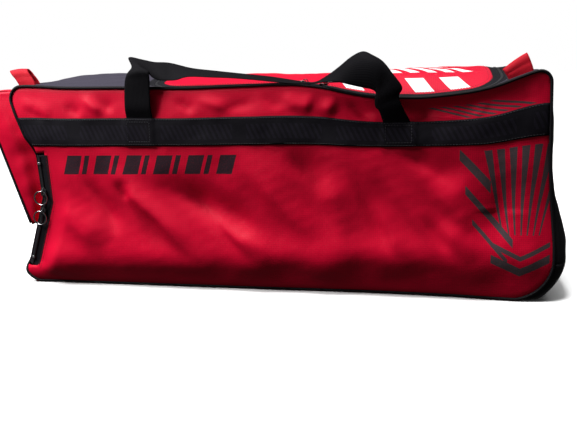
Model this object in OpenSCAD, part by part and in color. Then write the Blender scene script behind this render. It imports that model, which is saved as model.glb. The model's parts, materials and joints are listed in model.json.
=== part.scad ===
// Hockey equipment bag: a soft boxed bag with a zipped lid, an end compartment and an end pocket.
// Frame: +X to the right end, -Y to the front, +Z up, origin on the floor under the middle of the box.

/* [Body] */
// Length of the front panel along its top edge
body_len = 940; // [900:5:980]
// Depth from the front panel to the back panel
body_depth = 400; // [380:5:440]
// Height of the top panels above the floor
body_h = 368; // [360:2:380]
// Thickness of the coated fabric with its lining
wall = 3; // [2:0.5:4]
// How far the right end swells out at mid depth
end_bulge = 22; // [0:1:30]
// Thickness of the stiffening board in the base
board_t = 4; // [3:0.5:6]

/* [Corners] */
// Radius of the front panel's top left corner
top_left_r = 22; // [15:1:30]
// Radius of the front panel's top right corner
top_right_r = 22; // [15:1:30]
// Radius of the front panel's bottom right corner
bottom_right_r = 70; // [40:1:75]
// Radius of the front panel's bottom left corner
bottom_left_r = 42; // [30:1:44]
// Width of the flat welt round the front and back panels
welt_w = 7; // [5:0.5:8]
// How far the welt stands off the panel
welt_t = 3; // [2.5:0.5:3.5]

/* [Lid] */
// Left run of the lid's zipper line
lid_left = -192; // [-200:1:-185]
// Right run of the lid's zipper line
lid_right = 424; // [400:1:430]
// Distance of the lid's front zipper line from the front panel
lid_inset = 32; // [31:0.5:40]
// Distance of the lid's hinge fold from the back panel
hinge_inset = 35; // [30:1:60]
// Corner radius of the lid's zipper line
lid_r = 52; // [40:1:60]

/* [Zips] */
// Width of one zipper tape from the slit to the seam
tape_w = 12; // [10:0.5:12]
// Thickness of a zipper tape
tape_t = 1; // [0.8:0.1:1.2]
// Gap between two zipper tapes
slit = 1.6; // [1.5:0.1:2]
// Width of one coil
coil_w = 2.4; // [2:0.1:2.8]
// Height of a coil above its tape
coil_h = 2; // [1.5:0.1:2.2]
// Length of a slider
slider_len = 16; // [12:1:18]
// Width of a slider
slider_w = 11; // [10.5:0.5:12]
// Middle radius of a ring pull
ring_r = 12.7; // [10:0.1:13]
// Wire diameter of a ring pull
ring_wire = 2.6; // [2:0.1:2.8]
// Lean of a hanging ring pull inside its own plane
ring_lean = 25; // [0:1:30]
// Length of a flat pull
pull_len = 26; // [20:1:30]

/* [Straps] */
// Width of the webbing
strap_w = 50; // [45:1:50]
// Thickness of the webbing
strap_t = 2; // [1.5:0.1:2]
// Lower edge of the webbing bands
band_z = 263; // [255:1:266]
// Middle of the left leg of each handle
leg_left = -195; // [-205:1:-190]
// Middle of the right leg of each handle
leg_right = 255; // [245:1:265]
// Width of a grab tab
tab_w = 38; // [30:1:40]
// Height of a grab tab above the top
tab_h = 31; // [24:1:34]

/* [Pocket] */
// How far the end pocket reaches past the top left corner
pocket_out = 62; // [50:1:70]
// Depth of the end pocket from front to back
pocket_depth = 360; // [300:5:370]

/* [Hidden] */

$fn = 48;
black = [0.10, 0.10, 0.11];
charcoal = [0.24, 0.24, 0.28];
red = [0.80, 0.06, 0.13];
steel = [0.80, 0.80, 0.82];

front_y = body_depth / 2;
inner_y = front_y - wall;
// the right end starts this far past the top right corner
end_step = 4;
right_reach = end_step + wall + end_bulge;
// the ends of the front panel's top edge, with the whole box centred on x = 0
left_x = (pocket_out - right_reach) / 2 - body_len / 2;
right_x = left_x + body_len;

// heights where the boxing changes from the base to the ends and from the ends to the top
base_seam_z = 62;
top_seam_z = body_h - 30;
// outer edge of every boxing cut
beyond = body_len;

// the outline of the front panel, anticlockwise from the bottom left, as [x, z, corner radius]
corners = [
    [left_x - 8, 0, bottom_left_r],
    [right_x + 20, 0, bottom_right_r],
    [right_x + 17, 100, 300],
    [right_x + 5, 225, 300],
    [right_x, body_h, top_right_r],
    [left_x, body_h, top_left_r],
    [left_x + 36, body_h - 106, 60],
    [left_x + 38, 172, 60],
    [left_x - 6, 56, 40]
];

function unit(v) = v / norm(v);
function flat(p) = [p[0], p[1]];
function before(list, i) = flat(list[(i + len(list) - 1) % len(list)]);
function after(list, i) = flat(list[(i + 1) % len(list)]);
function left_of(a, b) = let (d = unit(b - a)) [-d[1], d[0]];
// a corner list moved inward by t, with its radii changed to match
function inset(list, t) = [
    for (i = [0 : len(list) - 1])
        let (
            n = left_of(before(list, i), flat(list[i])),
            m = left_of(flat(list[i]), after(list, i)),
            p = flat(list[i]) + (n + m) * t / (1 + n * m),
            turn = sign(n[0] * m[1] - n[1] * m[0])
        )
        [p[0], p[1], list[i][2] - turn * t]
];
// the arc of radius r that rounds corner p between a and b
function arc(a, p, b, r) = let (
        u = unit(a - p),
        v = unit(b - p),
        bend = acos(u * v) / 2,
        middle = p + unit(u + v) * r / sin(bend),
        from = p + u * r / tan(bend) - middle,
        to = p + v * r / tan(bend) - middle,
        start = atan2(from[1], from[0]),
        turn = atan2(from[0] * to[1] - from[1] * to[0], from * to),
        steps = max(2, ceil(abs(turn) / 11))
    )
    [for (i = [0 : steps]) middle + r * [cos(start + turn * i / steps), sin(start + turn * i / steps)]];
function rounded(list) = [
    for (i = [0 : len(list) - 1]) each arc(before(list, i), flat(list[i]), after(list, i), list[i][2])
];

// a box from one corner to the other
module block(a, b) {
    translate(a) cube(b - a);
}
// an upright plate from y0 to y1, with its outline in x and z
module plate(points, y0, y1) {
    translate([0, y1, 0]) rotate([90, 0, 0]) linear_extrude(y1 - y0) polygon(points);
}
// the panel outline inset by t, as an upright plate
module upright(y0, y1, t = 0) {
    plate(rounded(inset(corners, t)), y0, y1);
}
// the boxing between the front and back panels, cut to a box
module boxing(low, high) {
    intersection() {
        difference() {
            upright(-inner_y, inner_y);
            upright(-front_y, front_y, wall);
        }
        block(low, high);
    }
}

// The shell

// the end zip's line on the front panel, from its top past its bend to its foot, as [x, z]
zip_top = [left_x + 55, 238];
zip_bend = [left_x + 57, 160];
zip_foot = [left_x + 15, 44];
zip_up = left_of(zip_top, zip_bend);
zip_down = left_of(zip_bend, zip_foot);
function zip_line(e) = [
    zip_top + zip_up * e, zip_bend + (zip_up + zip_down) * e / (1 + zip_up * zip_down), zip_foot + zip_down * e
];
// the strip of the front panel between e0 and e1 to the right of the zip's line
function zip_strip(e0, e1) = concat(zip_line(e0), [for (i = [2 : -1 : 0]) zip_line(e1)[i]]);
window = slit / 2 + tape_w;

module front_panel() {
    color(red) difference() {
        upright(-front_y, -inner_y);
        plate(zip_strip(window, -window), -body_depth, 0);
    }
}
module back_panel() {
    color(red) upright(inner_y, front_y);
}
module left_end_panel() {
    color(red) boxing([-beyond, -front_y, base_seam_z], [0, front_y, top_seam_z]);
}
module right_end_panel() {
    steps = 16;
    outer = [for (i = [0 : steps]) [end_bulge * sin(180 * i / steps) + wall, inner_y * (2 * i / steps - 1)]];
    inner = [for (i = [steps : -1 : 0]) outer[i] - [wall, 0]];
    color(black) translate([right_x + end_step, 0, base_seam_z])
        linear_extrude(top_seam_z - base_seam_z) polygon(concat(outer, inner));
}
module base_panel() {
    color(black) boxing([-beyond, -front_y, 0], [beyond, front_y, base_seam_z]);
}
board_z = wall + 0.2;
module base_board() {
    color(black) block([left_x + 55, 8 - inner_y, board_z], [right_x - 65, inner_y - 8, board_z + board_t]);
}
// the fabric wall between the end compartment and the main compartment
divider_x = left_x + 245;
module divider_panel() {
    color(black) block([divider_x, -inner_y, board_z + board_t + 0.2], [divider_x + wall, inner_y, body_h - wall]);
}
module welt(y0, y1) {
    color(black) difference() {
        upright(y0, y1);
        upright(y0 - 1, y1 + 1, welt_w);
    }
}
module front_piping() {
    welt(-front_y - welt_t, -front_y);
}
module back_piping() {
    welt(front_y, front_y + welt_t);
}

// The lid and the top round it

lid_front = lid_inset - front_y;
hinge_y = front_y - hinge_inset;
// the lid turns about a line above the cloth, so that it can lie back on the top
hinge_z = body_h + 1.5;
fold_gap = 0.3;
// the lid's zipper line grown outward by e and closed at y = back, as [x, y]
function lid_line(e, back) = concat(
        [[lid_left - e, back]],
        arc([lid_left - e, 0], [lid_left - e, lid_front - e], [0, lid_front - e], lid_r + e),
        arc([0, lid_front - e], [lid_right + e, lid_front - e], [lid_right + e, 0], lid_r + e),
        [[lid_right + e, back]]
    );
module lid_ring(e0, e1, z0, z1) {
    translate([0, 0, z0]) linear_extrude(z1 - z0) difference() {
        polygon(lid_line(e1, hinge_y - fold_gap));
        polygon(lid_line(e0, hinge_y));
    }
}
// distance from the lid's ends to the seams that join the top panels to the long strips
seam_in = 62;
module top_sheet(low, high) {
    difference() {
        boxing([low[0], low[1], top_seam_z], [high[0], high[1], body_h]);
        translate([0, 0, top_seam_z]) linear_extrude(body_h) polygon(lid_line(window, hinge_y + fold_gap));
    }
}
module top_left_panel() {
    color(charcoal) top_sheet([-beyond, -front_y], [lid_left + seam_in, front_y]);
}
module top_right_panel() {
    color(charcoal) top_sheet([lid_right - seam_in, -front_y], [beyond, front_y]);
}
module top_front_strip() {
    color(charcoal) top_sheet([lid_left + seam_in, -front_y], [lid_right - seam_in, 0]);
}
module top_back_strip() {
    color(charcoal) top_sheet([lid_left + seam_in, 0], [lid_right - seam_in, front_y]);
}
module lid_panel() {
    color(red) translate([0, 0, body_h - wall]) linear_extrude(wall)
        polygon(lid_line(-window, hinge_y - fold_gap));
}
// the face of both lid tapes, which the coils stand on
tape_z = body_h - tape_t;
module lid_tape() {
    color(black) {
        lid_ring(-window, -slit / 2, tape_z - tape_t, tape_z);
        lid_ring(-slit / 2 - coil_w, -slit / 2, tape_z, tape_z + coil_h);
    }
}
module lid_frame_tape() {
    color(black) {
        lid_ring(slit / 2, window, tape_z - tape_t, tape_z);
        lid_ring(slit / 2, slit / 2 + coil_w, tape_z, tape_z + coil_h);
    }
}
stop_t = 1;
stop_len = 4;
module lid_zip_stops() {
    color(steel) for (x = [lid_left - slit / 2 - coil_w, lid_right + slit / 2])
        translate([x, hinge_y - 10, tape_z + coil_h]) cube([coil_w, stop_len, stop_t]);
}

// Sliders and pulls: the zip runs along x, the coils stand up from z = 0

gap = 0.3;
shell_t = 1.2;
slider_top = coil_h + gap + shell_t;
// a wire that leans in its plane needs this much more room in the bail
lean_room = 0.6;
pin_z = slider_top + lean_room + ring_wire / 2;
bail_half = ring_wire / 2 + lean_room + 0.5;
bail_t = 1.2;
post_half = 0.45;
module slider(bail_turn = 0, far_wing = true) {
    wide = slider_w / 2;
    long = slider_len / 2;
    bail_top = pin_z + ring_wire / 2 + lean_room + bail_t;
    color(black) {
        block([-long, -wide, coil_h + gap], [long, wide, slider_top]);
        for (side = [-wide, wide - shell_t]) block([-long, side, gap], [long, side + shell_t, coil_h + gap]);
        block([-2.5, -post_half, -tape_t - gap - shell_t], [2.5, post_half, coil_h + gap]);
        block([-long, far_wing ? -wide : -post_half, -tape_t - gap - shell_t], [long, wide, -tape_t - gap]);
        rotate([0, 0, bail_turn]) {
            for (side = [-bail_half - bail_t, bail_half])
                block([side, -1, slider_top], [side + bail_t, 1, bail_top]);
            block([-bail_half, -1, bail_top - bail_t], [bail_half, 1, bail_top]);
        }
    }
}
// a flat pull from its pin at the origin, along x
module pull() {
    pin_r = 1.1;
    arm_in = 2.2;
    arm_out = 3.8;
    half_t = 0.8;
    reach = bail_half + bail_t + 1.4;
    color(black) {
        translate([0, arm_out, 0]) rotate([90, 0, 0]) cylinder(r = pin_r, h = 2 * arm_out, $fn = 24);
        for (side = [-arm_out, arm_in]) block([0, side, -half_t], [reach, side + arm_out - arm_in, half_t]);
        block([reach, -arm_out, -half_t], [pull_len - arm_out, arm_out, half_t]);
        translate([pull_len - arm_out, 0, -half_t]) cylinder(r = arm_out, h = 2 * half_t);
    }
}
// a wire ring hung from the origin in the plane of x and z
module ring() {
    color(steel) rotate([0, ring_lean, 0]) translate([0, 0, -ring_r]) rotate([90, 0, 0])
        rotate_extrude() translate([ring_r, 0]) circle(d = ring_wire, $fn = 16);
}

// the lid's sliders meet in the middle of the front run
lid_left_at = 98;
lid_right_at = 130;
module lid_left_slider() {
    translate([lid_left_at, lid_front, tape_z]) slider(far_wing = false);
}
module lid_right_slider() {
    translate([lid_right_at, lid_front, tape_z]) slider(far_wing = false);
}
module lid_left_pull() {
    translate([lid_left_at, lid_front, tape_z + pin_z]) rotate([0, 0, 180]) pull();
}
module lid_right_pull() {
    translate([lid_right_at, lid_front, tape_z + pin_z]) pull();
}

// The end zip on the front panel

zip_y = 1 - front_y;
module end_tape(side) {
    color(black) {
        plate(zip_strip(side * window, side * slit / 2), zip_y, zip_y + tape_t);
        plate(zip_strip(side * (slit / 2 + coil_w), side * slit / 2), zip_y - coil_h, zip_y);
    }
}
module end_front_tape() {
    end_tape(1);
}
module end_side_tape() {
    end_tape(-1);
}
// a point on the zip's line at height z, between a and b
function on_zip(a, b, z) = a + (b - a) * (z - a[1]) / (b[1] - a[1]);
function lean(a, b) = atan2(b[0] - a[0], b[1] - a[1]);
// children drawn along x and up z are set on the end zip at height z, between a and b
module on_end_zip(a, b, z) {
    p = on_zip(a, b, z);
    translate([p[0], zip_y, p[1]]) rotate([0, lean(a, b), 0]) rotate([90, -90, 0]) children();
}
upper_z = 178;
lower_z = 140;
module end_zip_stops() {
    color(steel) {
        for (z = [zip_top[1] - 8, zip_foot[1] + 8]) {
            a = z > zip_bend[1] ? zip_bend : zip_foot;
            b = z > zip_bend[1] ? zip_top : zip_bend;
            on_end_zip(a, b, z) translate([-stop_len / 2, -slit / 2 - coil_w, coil_h])
                cube([stop_len, slit + 2 * coil_w, stop_t]);
        }
    }
}
module upper_slider() {
    on_end_zip(zip_bend, zip_top, upper_z) slider();
}
module lower_slider() {
    on_end_zip(zip_foot, zip_bend, lower_z) slider();
}
module upper_ring() {
    translate([on_zip(zip_bend, zip_top, upper_z)[0], zip_y - pin_z, upper_z]) ring();
}
module lower_ring() {
    translate([on_zip(zip_foot, zip_bend, lower_z)[0], zip_y - pin_z, lower_z]) ring();
}

// The end pocket: a wedge on the left end, deepest at the top, as [x, z]

pocket_welt = 3;
pocket_y = pocket_depth / 2;
pocket_foot = [left_x + 6, 108];
pocket_rim = [left_x - pocket_out + pocket_welt, body_h - 28];
face_up = unit(pocket_rim - pocket_foot);
face_in = [face_up[1], -face_up[0]];
face_len = norm(pocket_rim - pocket_foot);
// a point s up the outer face and t in from it
function on_face(s, t) = pocket_foot + face_up * s + face_in * t;
// the inner edge of the gussets stands just off the left end panel
gusset_root = [left_x + 4, body_h - 31];
gusset_edge = [gusset_root, [left_x + 31, body_h - 112], [left_x + 32, 172], [left_x + 12, 114]];
zip_s = face_len - 62;
module gusset(y0) {
    color(red) plate(concat([on_face(6, wall), on_face(face_len, wall)], gusset_edge), y0, y0 + wall);
}
module pocket_front_gusset() {
    gusset(-pocket_y);
}
module pocket_back_gusset() {
    gusset(pocket_y - wall);
}
module pocket_top_gusset() {
    color(red) plate(
        [on_face(face_len, wall), gusset_root, gusset_root - [0, wall], on_face(face_len - wall, wall)],
        wall - pocket_y, pocket_y - wall
    );
}
module on_pocket(s0, s1, t0, t1, y0, y1) {
    plate([on_face(s0, t0), on_face(s1, t0), on_face(s1, t1), on_face(s0, t1)], y0, y1);
}
module pocket_upper_face() {
    color(red) on_pocket(zip_s + window, face_len, 0, wall, -pocket_y, pocket_y);
}
module pocket_lower_face() {
    color(red) on_pocket(0, zip_s - window, 0, wall, -pocket_y, pocket_y);
}
module pocket_piping() {
    color(black) {
        on_pocket(0, face_len, -pocket_welt, 0, -pocket_y, welt_w - pocket_y);
        on_pocket(0, face_len, -pocket_welt, 0, pocket_y - welt_w, pocket_y);
        on_pocket(face_len - welt_w, face_len, -pocket_welt, 0, -pocket_y, pocket_y);
    }
}
module pocket_tape(side) {
    far = zip_s + side * window;
    near = zip_s + side * slit / 2;
    coil = near + side * coil_w;
    run = pocket_y - welt_w - 1;
    color(black) {
        on_pocket(min(near, far), max(near, far), 1, 1 + tape_t, -pocket_y, pocket_y);
        on_pocket(min(near, coil), max(near, coil), 1 - coil_h, 1, -run, run);
    }
}
module pocket_upper_tape() {
    pocket_tape(1);
}
module pocket_lower_tape() {
    pocket_tape(-1);
}
pocket_slider_y = -130;
pocket_zip_at = on_face(zip_s, 1);
pocket_pin = on_face(zip_s, 1 - pin_z);
module pocket_slider() {
    translate([pocket_zip_at[0], pocket_slider_y, pocket_zip_at[1]])
        rotate([0, atan2(-face_in[0], -face_in[1]), 0]) rotate([0, 0, 90]) slider(bail_turn = 90);
}
module pocket_pull() {
    translate([pocket_pin[0], pocket_slider_y, pocket_pin[1]]) rotate([0, 90, 0]) pull();
}

// Webbing: bands sewn on the panels, handles sewn on the bands, grab tabs on the top

fold_z = band_z + strap_w + 1;
sewn_top = fold_z - 0.6;
module band(y0) {
    color(black) intersection() {
        upright(y0, y0 + strap_t, welt_w + gap);
        block([-beyond, y0, band_z], [beyond, y0 + strap_t, band_z + strap_w]);
    }
}
module front_band() {
    band(-front_y - strap_t);
}
module back_band() {
    band(front_y);
}
module legs(y0, z0, z1) {
    for (x = [leg_left, leg_right])
        block([x - strap_w / 2, y0, z0], [x + strap_w / 2, y0 + strap_t, z1]);
}
module front_handle_ends() {
    color(black) legs(-front_y - 2 * strap_t, band_z + 2, sewn_top);
}
module back_handle_ends() {
    color(black) legs(front_y + strap_t, band_z + 2, sewn_top);
}
// both handles turn about the middle of their webbing, clear of the welt and of their sewn ends
leg_gap = 2.6;
front_leg_y = -front_y - strap_t - leg_gap - strap_t;
back_leg_y = front_y + strap_t + leg_gap + 1.1;
// the front grip's line above the lid's front edge, as [x, z]
grip = [
    [leg_left + 5, body_h + 20],
    [leg_left + 45, body_h + 8],
    [leg_left + 190, body_h + 4],
    [leg_right - 140, body_h + 4],
    [leg_right - 62, body_h + 40],
    [leg_right - 12, body_h + 17]
];
grip_half = 1.7;
grip_depth = 29;
module front_handle() {
    color(black) {
        legs(front_leg_y, fold_z + 0.5, body_h + 17);
        plate(
            concat(
                [for (p = grip) p - [0, grip_half]],
                [for (i = [len(grip) - 1 : -1 : 0]) grip[i] + [0, grip_half]]
            ),
            front_leg_y, front_leg_y + grip_depth
        );
    }
}
// the back handle hangs, with its grip folded in half lengthwise
hang_z = fold_z - 100;
module back_handle() {
    color(black) {
        legs(back_leg_y, hang_z, fold_z - 0.5);
        block(
            [leg_left - strap_w / 2, back_leg_y, hang_z],
            [leg_right + strap_w / 2, back_leg_y + strap_t, hang_z + strap_w / 2]
        );
    }
}
tab_half = 7;
tab_y = 30 - front_y;
module tab_side(r) {
    translate([-r, 0]) square([2 * r, tab_h - tab_half]);
    translate([0, tab_h - tab_half]) circle(r);
}
module tab(x) {
    color(red) translate([x - tab_w / 2, tab_y, body_h]) rotate([90, 0, 90]) linear_extrude(tab_w) difference() {
        tab_side(tab_half);
        translate([0, -1]) tab_side(tab_half - strap_t);
    }
}
module left_tab() {
    tab(left_x + 36);
}
module right_tab() {
    tab(right_x - 42);
}

front_panel();
back_panel();
left_end_panel();
right_end_panel();
base_panel();
base_board();
divider_panel();
top_left_panel();
top_right_panel();
top_front_strip();
top_back_strip();
front_piping();
back_piping();
pocket_front_gusset();
pocket_back_gusset();
pocket_top_gusset();
pocket_upper_face();
pocket_lower_face();
pocket_piping();
pocket_upper_tape();
pocket_lower_tape();
pocket_slider();
pocket_pull();
lid_panel();
lid_tape();
lid_frame_tape();
lid_zip_stops();
lid_left_slider();
lid_right_slider();
lid_left_pull();
lid_right_pull();
end_front_tape();
end_side_tape();
end_zip_stops();
upper_slider();
lower_slider();
upper_ring();
lower_ring();
front_band();
back_band();
front_handle_ends();
back_handle_ends();
front_handle();
back_handle();
left_tab();
right_tab();
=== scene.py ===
"""Visual model of the hockey equipment bag: cloth, webbing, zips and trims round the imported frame."""
import json
import math
from functools import partialmethod, reduce

import bmesh
import bpy
import numpy as np
from mathutils import Matrix, Vector


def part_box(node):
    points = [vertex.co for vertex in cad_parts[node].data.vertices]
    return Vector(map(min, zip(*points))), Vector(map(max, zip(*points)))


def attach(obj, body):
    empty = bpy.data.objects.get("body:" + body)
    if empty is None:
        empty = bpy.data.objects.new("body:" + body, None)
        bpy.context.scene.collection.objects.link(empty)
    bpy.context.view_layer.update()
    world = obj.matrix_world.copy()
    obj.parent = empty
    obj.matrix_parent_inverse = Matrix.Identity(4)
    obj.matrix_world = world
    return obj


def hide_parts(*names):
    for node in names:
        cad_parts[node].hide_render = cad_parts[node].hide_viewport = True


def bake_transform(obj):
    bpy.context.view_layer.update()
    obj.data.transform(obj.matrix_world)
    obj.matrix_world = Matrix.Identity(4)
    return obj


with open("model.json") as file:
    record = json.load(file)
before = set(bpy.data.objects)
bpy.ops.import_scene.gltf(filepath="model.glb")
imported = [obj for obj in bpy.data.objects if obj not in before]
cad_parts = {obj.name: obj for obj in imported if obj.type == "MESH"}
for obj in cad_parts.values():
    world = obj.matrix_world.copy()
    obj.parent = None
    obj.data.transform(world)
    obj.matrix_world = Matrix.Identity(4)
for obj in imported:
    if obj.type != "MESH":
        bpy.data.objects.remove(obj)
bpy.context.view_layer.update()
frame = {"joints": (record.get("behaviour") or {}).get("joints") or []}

MM = 0.001


# ---------------------------------------------------------------- camera

EYE = np.array([284.5, -1246.0, 393.0])
YAW, PITCH, ROLL = 11.73, 13.52, -2.1
LENS = 39.46


def make_camera():
    yaw, pitch, roll = (math.radians(a) for a in (YAW, PITCH, ROLL))
    ahead = Vector((-math.sin(yaw) * math.cos(pitch), math.cos(yaw) * math.cos(pitch), -math.sin(pitch)))
    right = Vector((math.cos(yaw), math.sin(yaw), 0))
    up = right.cross(ahead)
    side = right * math.cos(roll) + up * math.sin(roll)
    top = up * math.cos(roll) - right * math.sin(roll)
    data = bpy.data.cameras.new("camera")
    data.lens = LENS
    data.sensor_width = 36
    data.clip_end = 50
    camera = bpy.data.objects.new("camera", data)
    bpy.context.scene.collection.objects.link(camera)
    turn = Matrix((side, top, -ahead)).transposed().to_4x4()
    camera.matrix_world = Matrix.Translation(Vector(EYE * MM)) @ turn
    bpy.context.scene.camera = camera


make_camera()


# ---------------------------------------------------------------- sizes from the frame, in mm


def box(node):
    low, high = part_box(node)
    return np.array(low) / MM, np.array(high) / MM


def middle(node):
    low, high = box(node)
    return (low + high) / 2


JOINTS = {j["name"]: j for j in frame["joints"]}


def pivot(joint):
    return np.array(JOINTS[joint]["pos_m"]) / MM


TOP = box("front_panel")[1][2]
FRONT = -box("front_panel")[0][1]
LEFT = middle("left_tab")[0] - 36
RIGHT = middle("right_tab")[0] + 42
HINGE = pivot("lid_hinge")
LID_LOW, LID_HIGH = box("lid_tape")
WINDOW = 12.8  # from a zip's middle line to the edge of the cloth
SLIT = 0.8  # from a zip's middle line to its tape
TAPE = WINDOW + 2  # from a zip's middle line to the tape's hidden edge
LID_LEFT = LID_LOW[0] + SLIT
LID_RIGHT = LID_HIGH[0] - SLIT
LID_FRONT = LID_LOW[1] + SLIT
LID_R = 52  # radius of the lid zip's two corners
BAND_LOW, BAND_HIGH = box("front_band")[0][2], box("front_band")[1][2]
BASE_SEAM = box("base_panel")[1][2]
TOP_SEAM = box("top_left_panel")[0][2]
SEAM_LEFT = box("top_front_strip")[0][0]
SEAM_RIGHT = box("top_front_strip")[1][0]
POCKET_Y = box("pocket_lower_face")[1][1]
HALF_STRAP = 25  # half the width of the handles' webbing
LEG_LEFT = box("front_handle")[0][0] + HALF_STRAP
LEG_RIGHT = box("front_handle")[1][0] - HALF_STRAP
CLOTH_T = 1.6
UP = np.array([0.0, 0.0, 1.0])
OUT = np.array([0.0, -1.0, 0.0])  # away from the front panel

# the front panel's outline, anticlockwise from the bottom left, as (x, z, corner radius)
CORNERS = [
    (LEFT - 8, 0, 42),
    (RIGHT + 20, 0, 70),
    (RIGHT + 17, 100, 300),
    (RIGHT + 5, 225, 300),
    (RIGHT, TOP, 22),
    (LEFT, TOP, 22),
    (LEFT + 36, TOP - 106, 60),
    (LEFT + 38, 172, 60),
    (LEFT - 6, 56, 40),
]


# ---------------------------------------------------------------- small mathematics


def smooth(a, b, x):
    t = np.clip((np.asarray(x, float) - a) / (b - a), 0, 1)
    return t * t * (3 - 2 * t)


def bump(x, middle_at, width):
    return np.exp(-(((np.asarray(x, float) - middle_at) / width) ** 2))


def through(x, xs, ys):
    """a smooth curve through the points (xs, ys)"""
    xs, ys = np.asarray(xs, float), np.asarray(ys, float)
    slope = np.gradient(ys, xs)
    i = np.clip(np.searchsorted(xs, x) - 1, 0, len(xs) - 2)
    w = xs[i + 1] - xs[i]
    t = np.clip((x - xs[i]) / w, 0, 1)
    here = (1 + 2 * t) * (1 - t) ** 2 * ys[i] + t * (1 - t) ** 2 * w * slope[i]
    return here + t * t * (3 - 2 * t) * ys[i + 1] + t * t * (t - 1) * w * slope[i + 1]


WAVES = 7  # how many waves make up the unevenness


def ripples(a, b, length, seed):
    """gentle unevenness between about -1 and 1, the same on every run"""
    dice = np.random.default_rng(seed)
    total = 0
    for _ in range(WAVES):
        turn, phase = dice.uniform(0, math.tau), dice.uniform(0, math.tau)
        rate = math.tau / (length * dice.uniform(0.6, 1.6))
        total = total + np.sin((a * math.cos(turn) + b * math.sin(turn)) * rate + phase)
    return total / WAVES**0.5


def run_along(line):
    """the distance travelled along a line at each of its points"""
    return np.concatenate([[0], np.cumsum(np.linalg.norm(np.diff(line, axis=0), axis=1))])


def unit(vectors):
    return vectors / np.linalg.norm(vectors, axis=-1, keepdims=True)


def right_of(line, closed=False):
    """unit directions to the right of a flat line"""
    ahead = unit(np.roll(line, -1, 0) - np.roll(line, 1, 0) if closed else np.gradient(line, axis=0))
    return np.stack([ahead[:, 1], -ahead[:, 0]], 1)


def resample(points, step, closed=False):
    """the same line with even steps"""
    points = np.asarray(points, float)
    if closed:
        points = np.vstack([points, points[:1]])
    length = run_along(points)
    count = max(2, int(round(length[-1] / step)) + 1)
    at = np.linspace(0, length[-1], count)
    line = np.stack([np.interp(at, length, points[:, k]) for k in range(points.shape[1])], 1)
    return line[:-1] if closed else line


def spline(points, count):
    """a smooth line through control points, with even steps in its parameter"""
    points = np.asarray(points, float)
    at = np.arange(len(points))
    t = np.linspace(0, len(points) - 1, count)
    return np.stack([through(t, at, points[:, k]) for k in range(points.shape[1])], 1)


def arc(a, p, b, r):
    """the arc that rounds corner p between a and b"""
    a, p, b = (np.asarray(q[:2], float) for q in (a, p, b))
    u, v = unit(a - p), unit(b - p)
    bend = math.acos(float(u @ v)) / 2
    centre = p + unit(u + v) * r / math.sin(bend)
    start, end = p + u * r / math.tan(bend) - centre, p + v * r / math.tan(bend) - centre
    first = math.atan2(start[1], start[0])
    turn = math.atan2(start[0] * end[1] - start[1] * end[0], float(start @ end))
    steps = max(2, math.ceil(abs(turn) / math.radians(6)))
    turns = [first + turn * i / steps for i in range(steps + 1)]
    return [centre + r * np.array([math.cos(a), math.sin(a)]) for a in turns]


def rounded(x0, x1, y0, y1, r, step=18):
    """a rectangle's outline with rounded corners, anticlockwise"""
    corners = ((x1 - r, y1 - r, 0), (x0 + r, y1 - r, 90), (x0 + r, y0 + r, 180), (x1 - r, y0 + r, 270))
    turns = [(x, y, math.radians(first + a)) for x, y, first in corners for a in range(0, 91, step)]
    return np.array([(x + r * math.cos(a), y + r * math.sin(a)) for x, y, a in turns])


def polygon_distance(x, z, line):
    """distance to a polygon, negative inside it"""
    x, z = np.broadcast_arrays(np.asarray(x, float), np.asarray(z, float))
    near = np.full(x.shape, 1e9)
    inside = np.zeros(x.shape, bool)
    ends = np.roll(line, -1, axis=0)
    for (ax, az), (bx, bz) in zip(line, ends):
        dx, dz = bx - ax, bz - az
        t = np.clip(((x - ax) * dx + (z - az) * dz) / max(dx * dx + dz * dz, 1e-9), 0, 1)
        near = np.minimum(near, (x - ax - t * dx) ** 2 + (z - az - t * dz) ** 2)
        if abs(dz) > 1e-9:
            crosses = (az > z) != (bz > z)
            inside ^= crosses & (x < ax + (z - az) * dx / dz)
    near = np.sqrt(near)
    return np.where(inside, -near, near)


LOOP = zip(CORNERS[-1:] + CORNERS[:-1], CORNERS, CORNERS[1:] + CORNERS[:1])
OUTLINE = np.array([q for before, corner, after in LOOP for q in arc(before, corner, after, corner[2])])

# the end zip's line on the front panel, as (x, z)
ZIP_TOP = np.array([LEFT + 55, 238.0])
ZIP_BEND = np.array([LEFT + 57, 160.0])
ZIP_FOOT = np.array([LEFT + 15, 44.0])


def side_of(a, b, x, z):
    """signed distance from the line a to b, positive on its right when a is the upper end"""
    d = unit(b - a)
    return (x - a[0]) * -d[1] + (z - a[1]) * d[0]


def zip_side(x, z):
    return np.maximum(side_of(ZIP_TOP, ZIP_BEND, x, z), side_of(ZIP_BEND, ZIP_FOOT, x, z))


def near_zip(z):
    """1 along the end zip, fading past its two ends"""
    return smooth(14, 46, z) * smooth(282, 240, z)


# ---------------------------------------------------------------- how the cloth hangs

DIP_AT = [-480, -418, -338, -225, -114, 1, 92, 130, 168, 209, 257, 288, 334, 380, 409, 438, 467, 520]
DIP = [1, 5, 0, -3, -7, -6, -7, -12, -21, -29, -32, -33, -30, -24, -17, -7, 2, 3]

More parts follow.
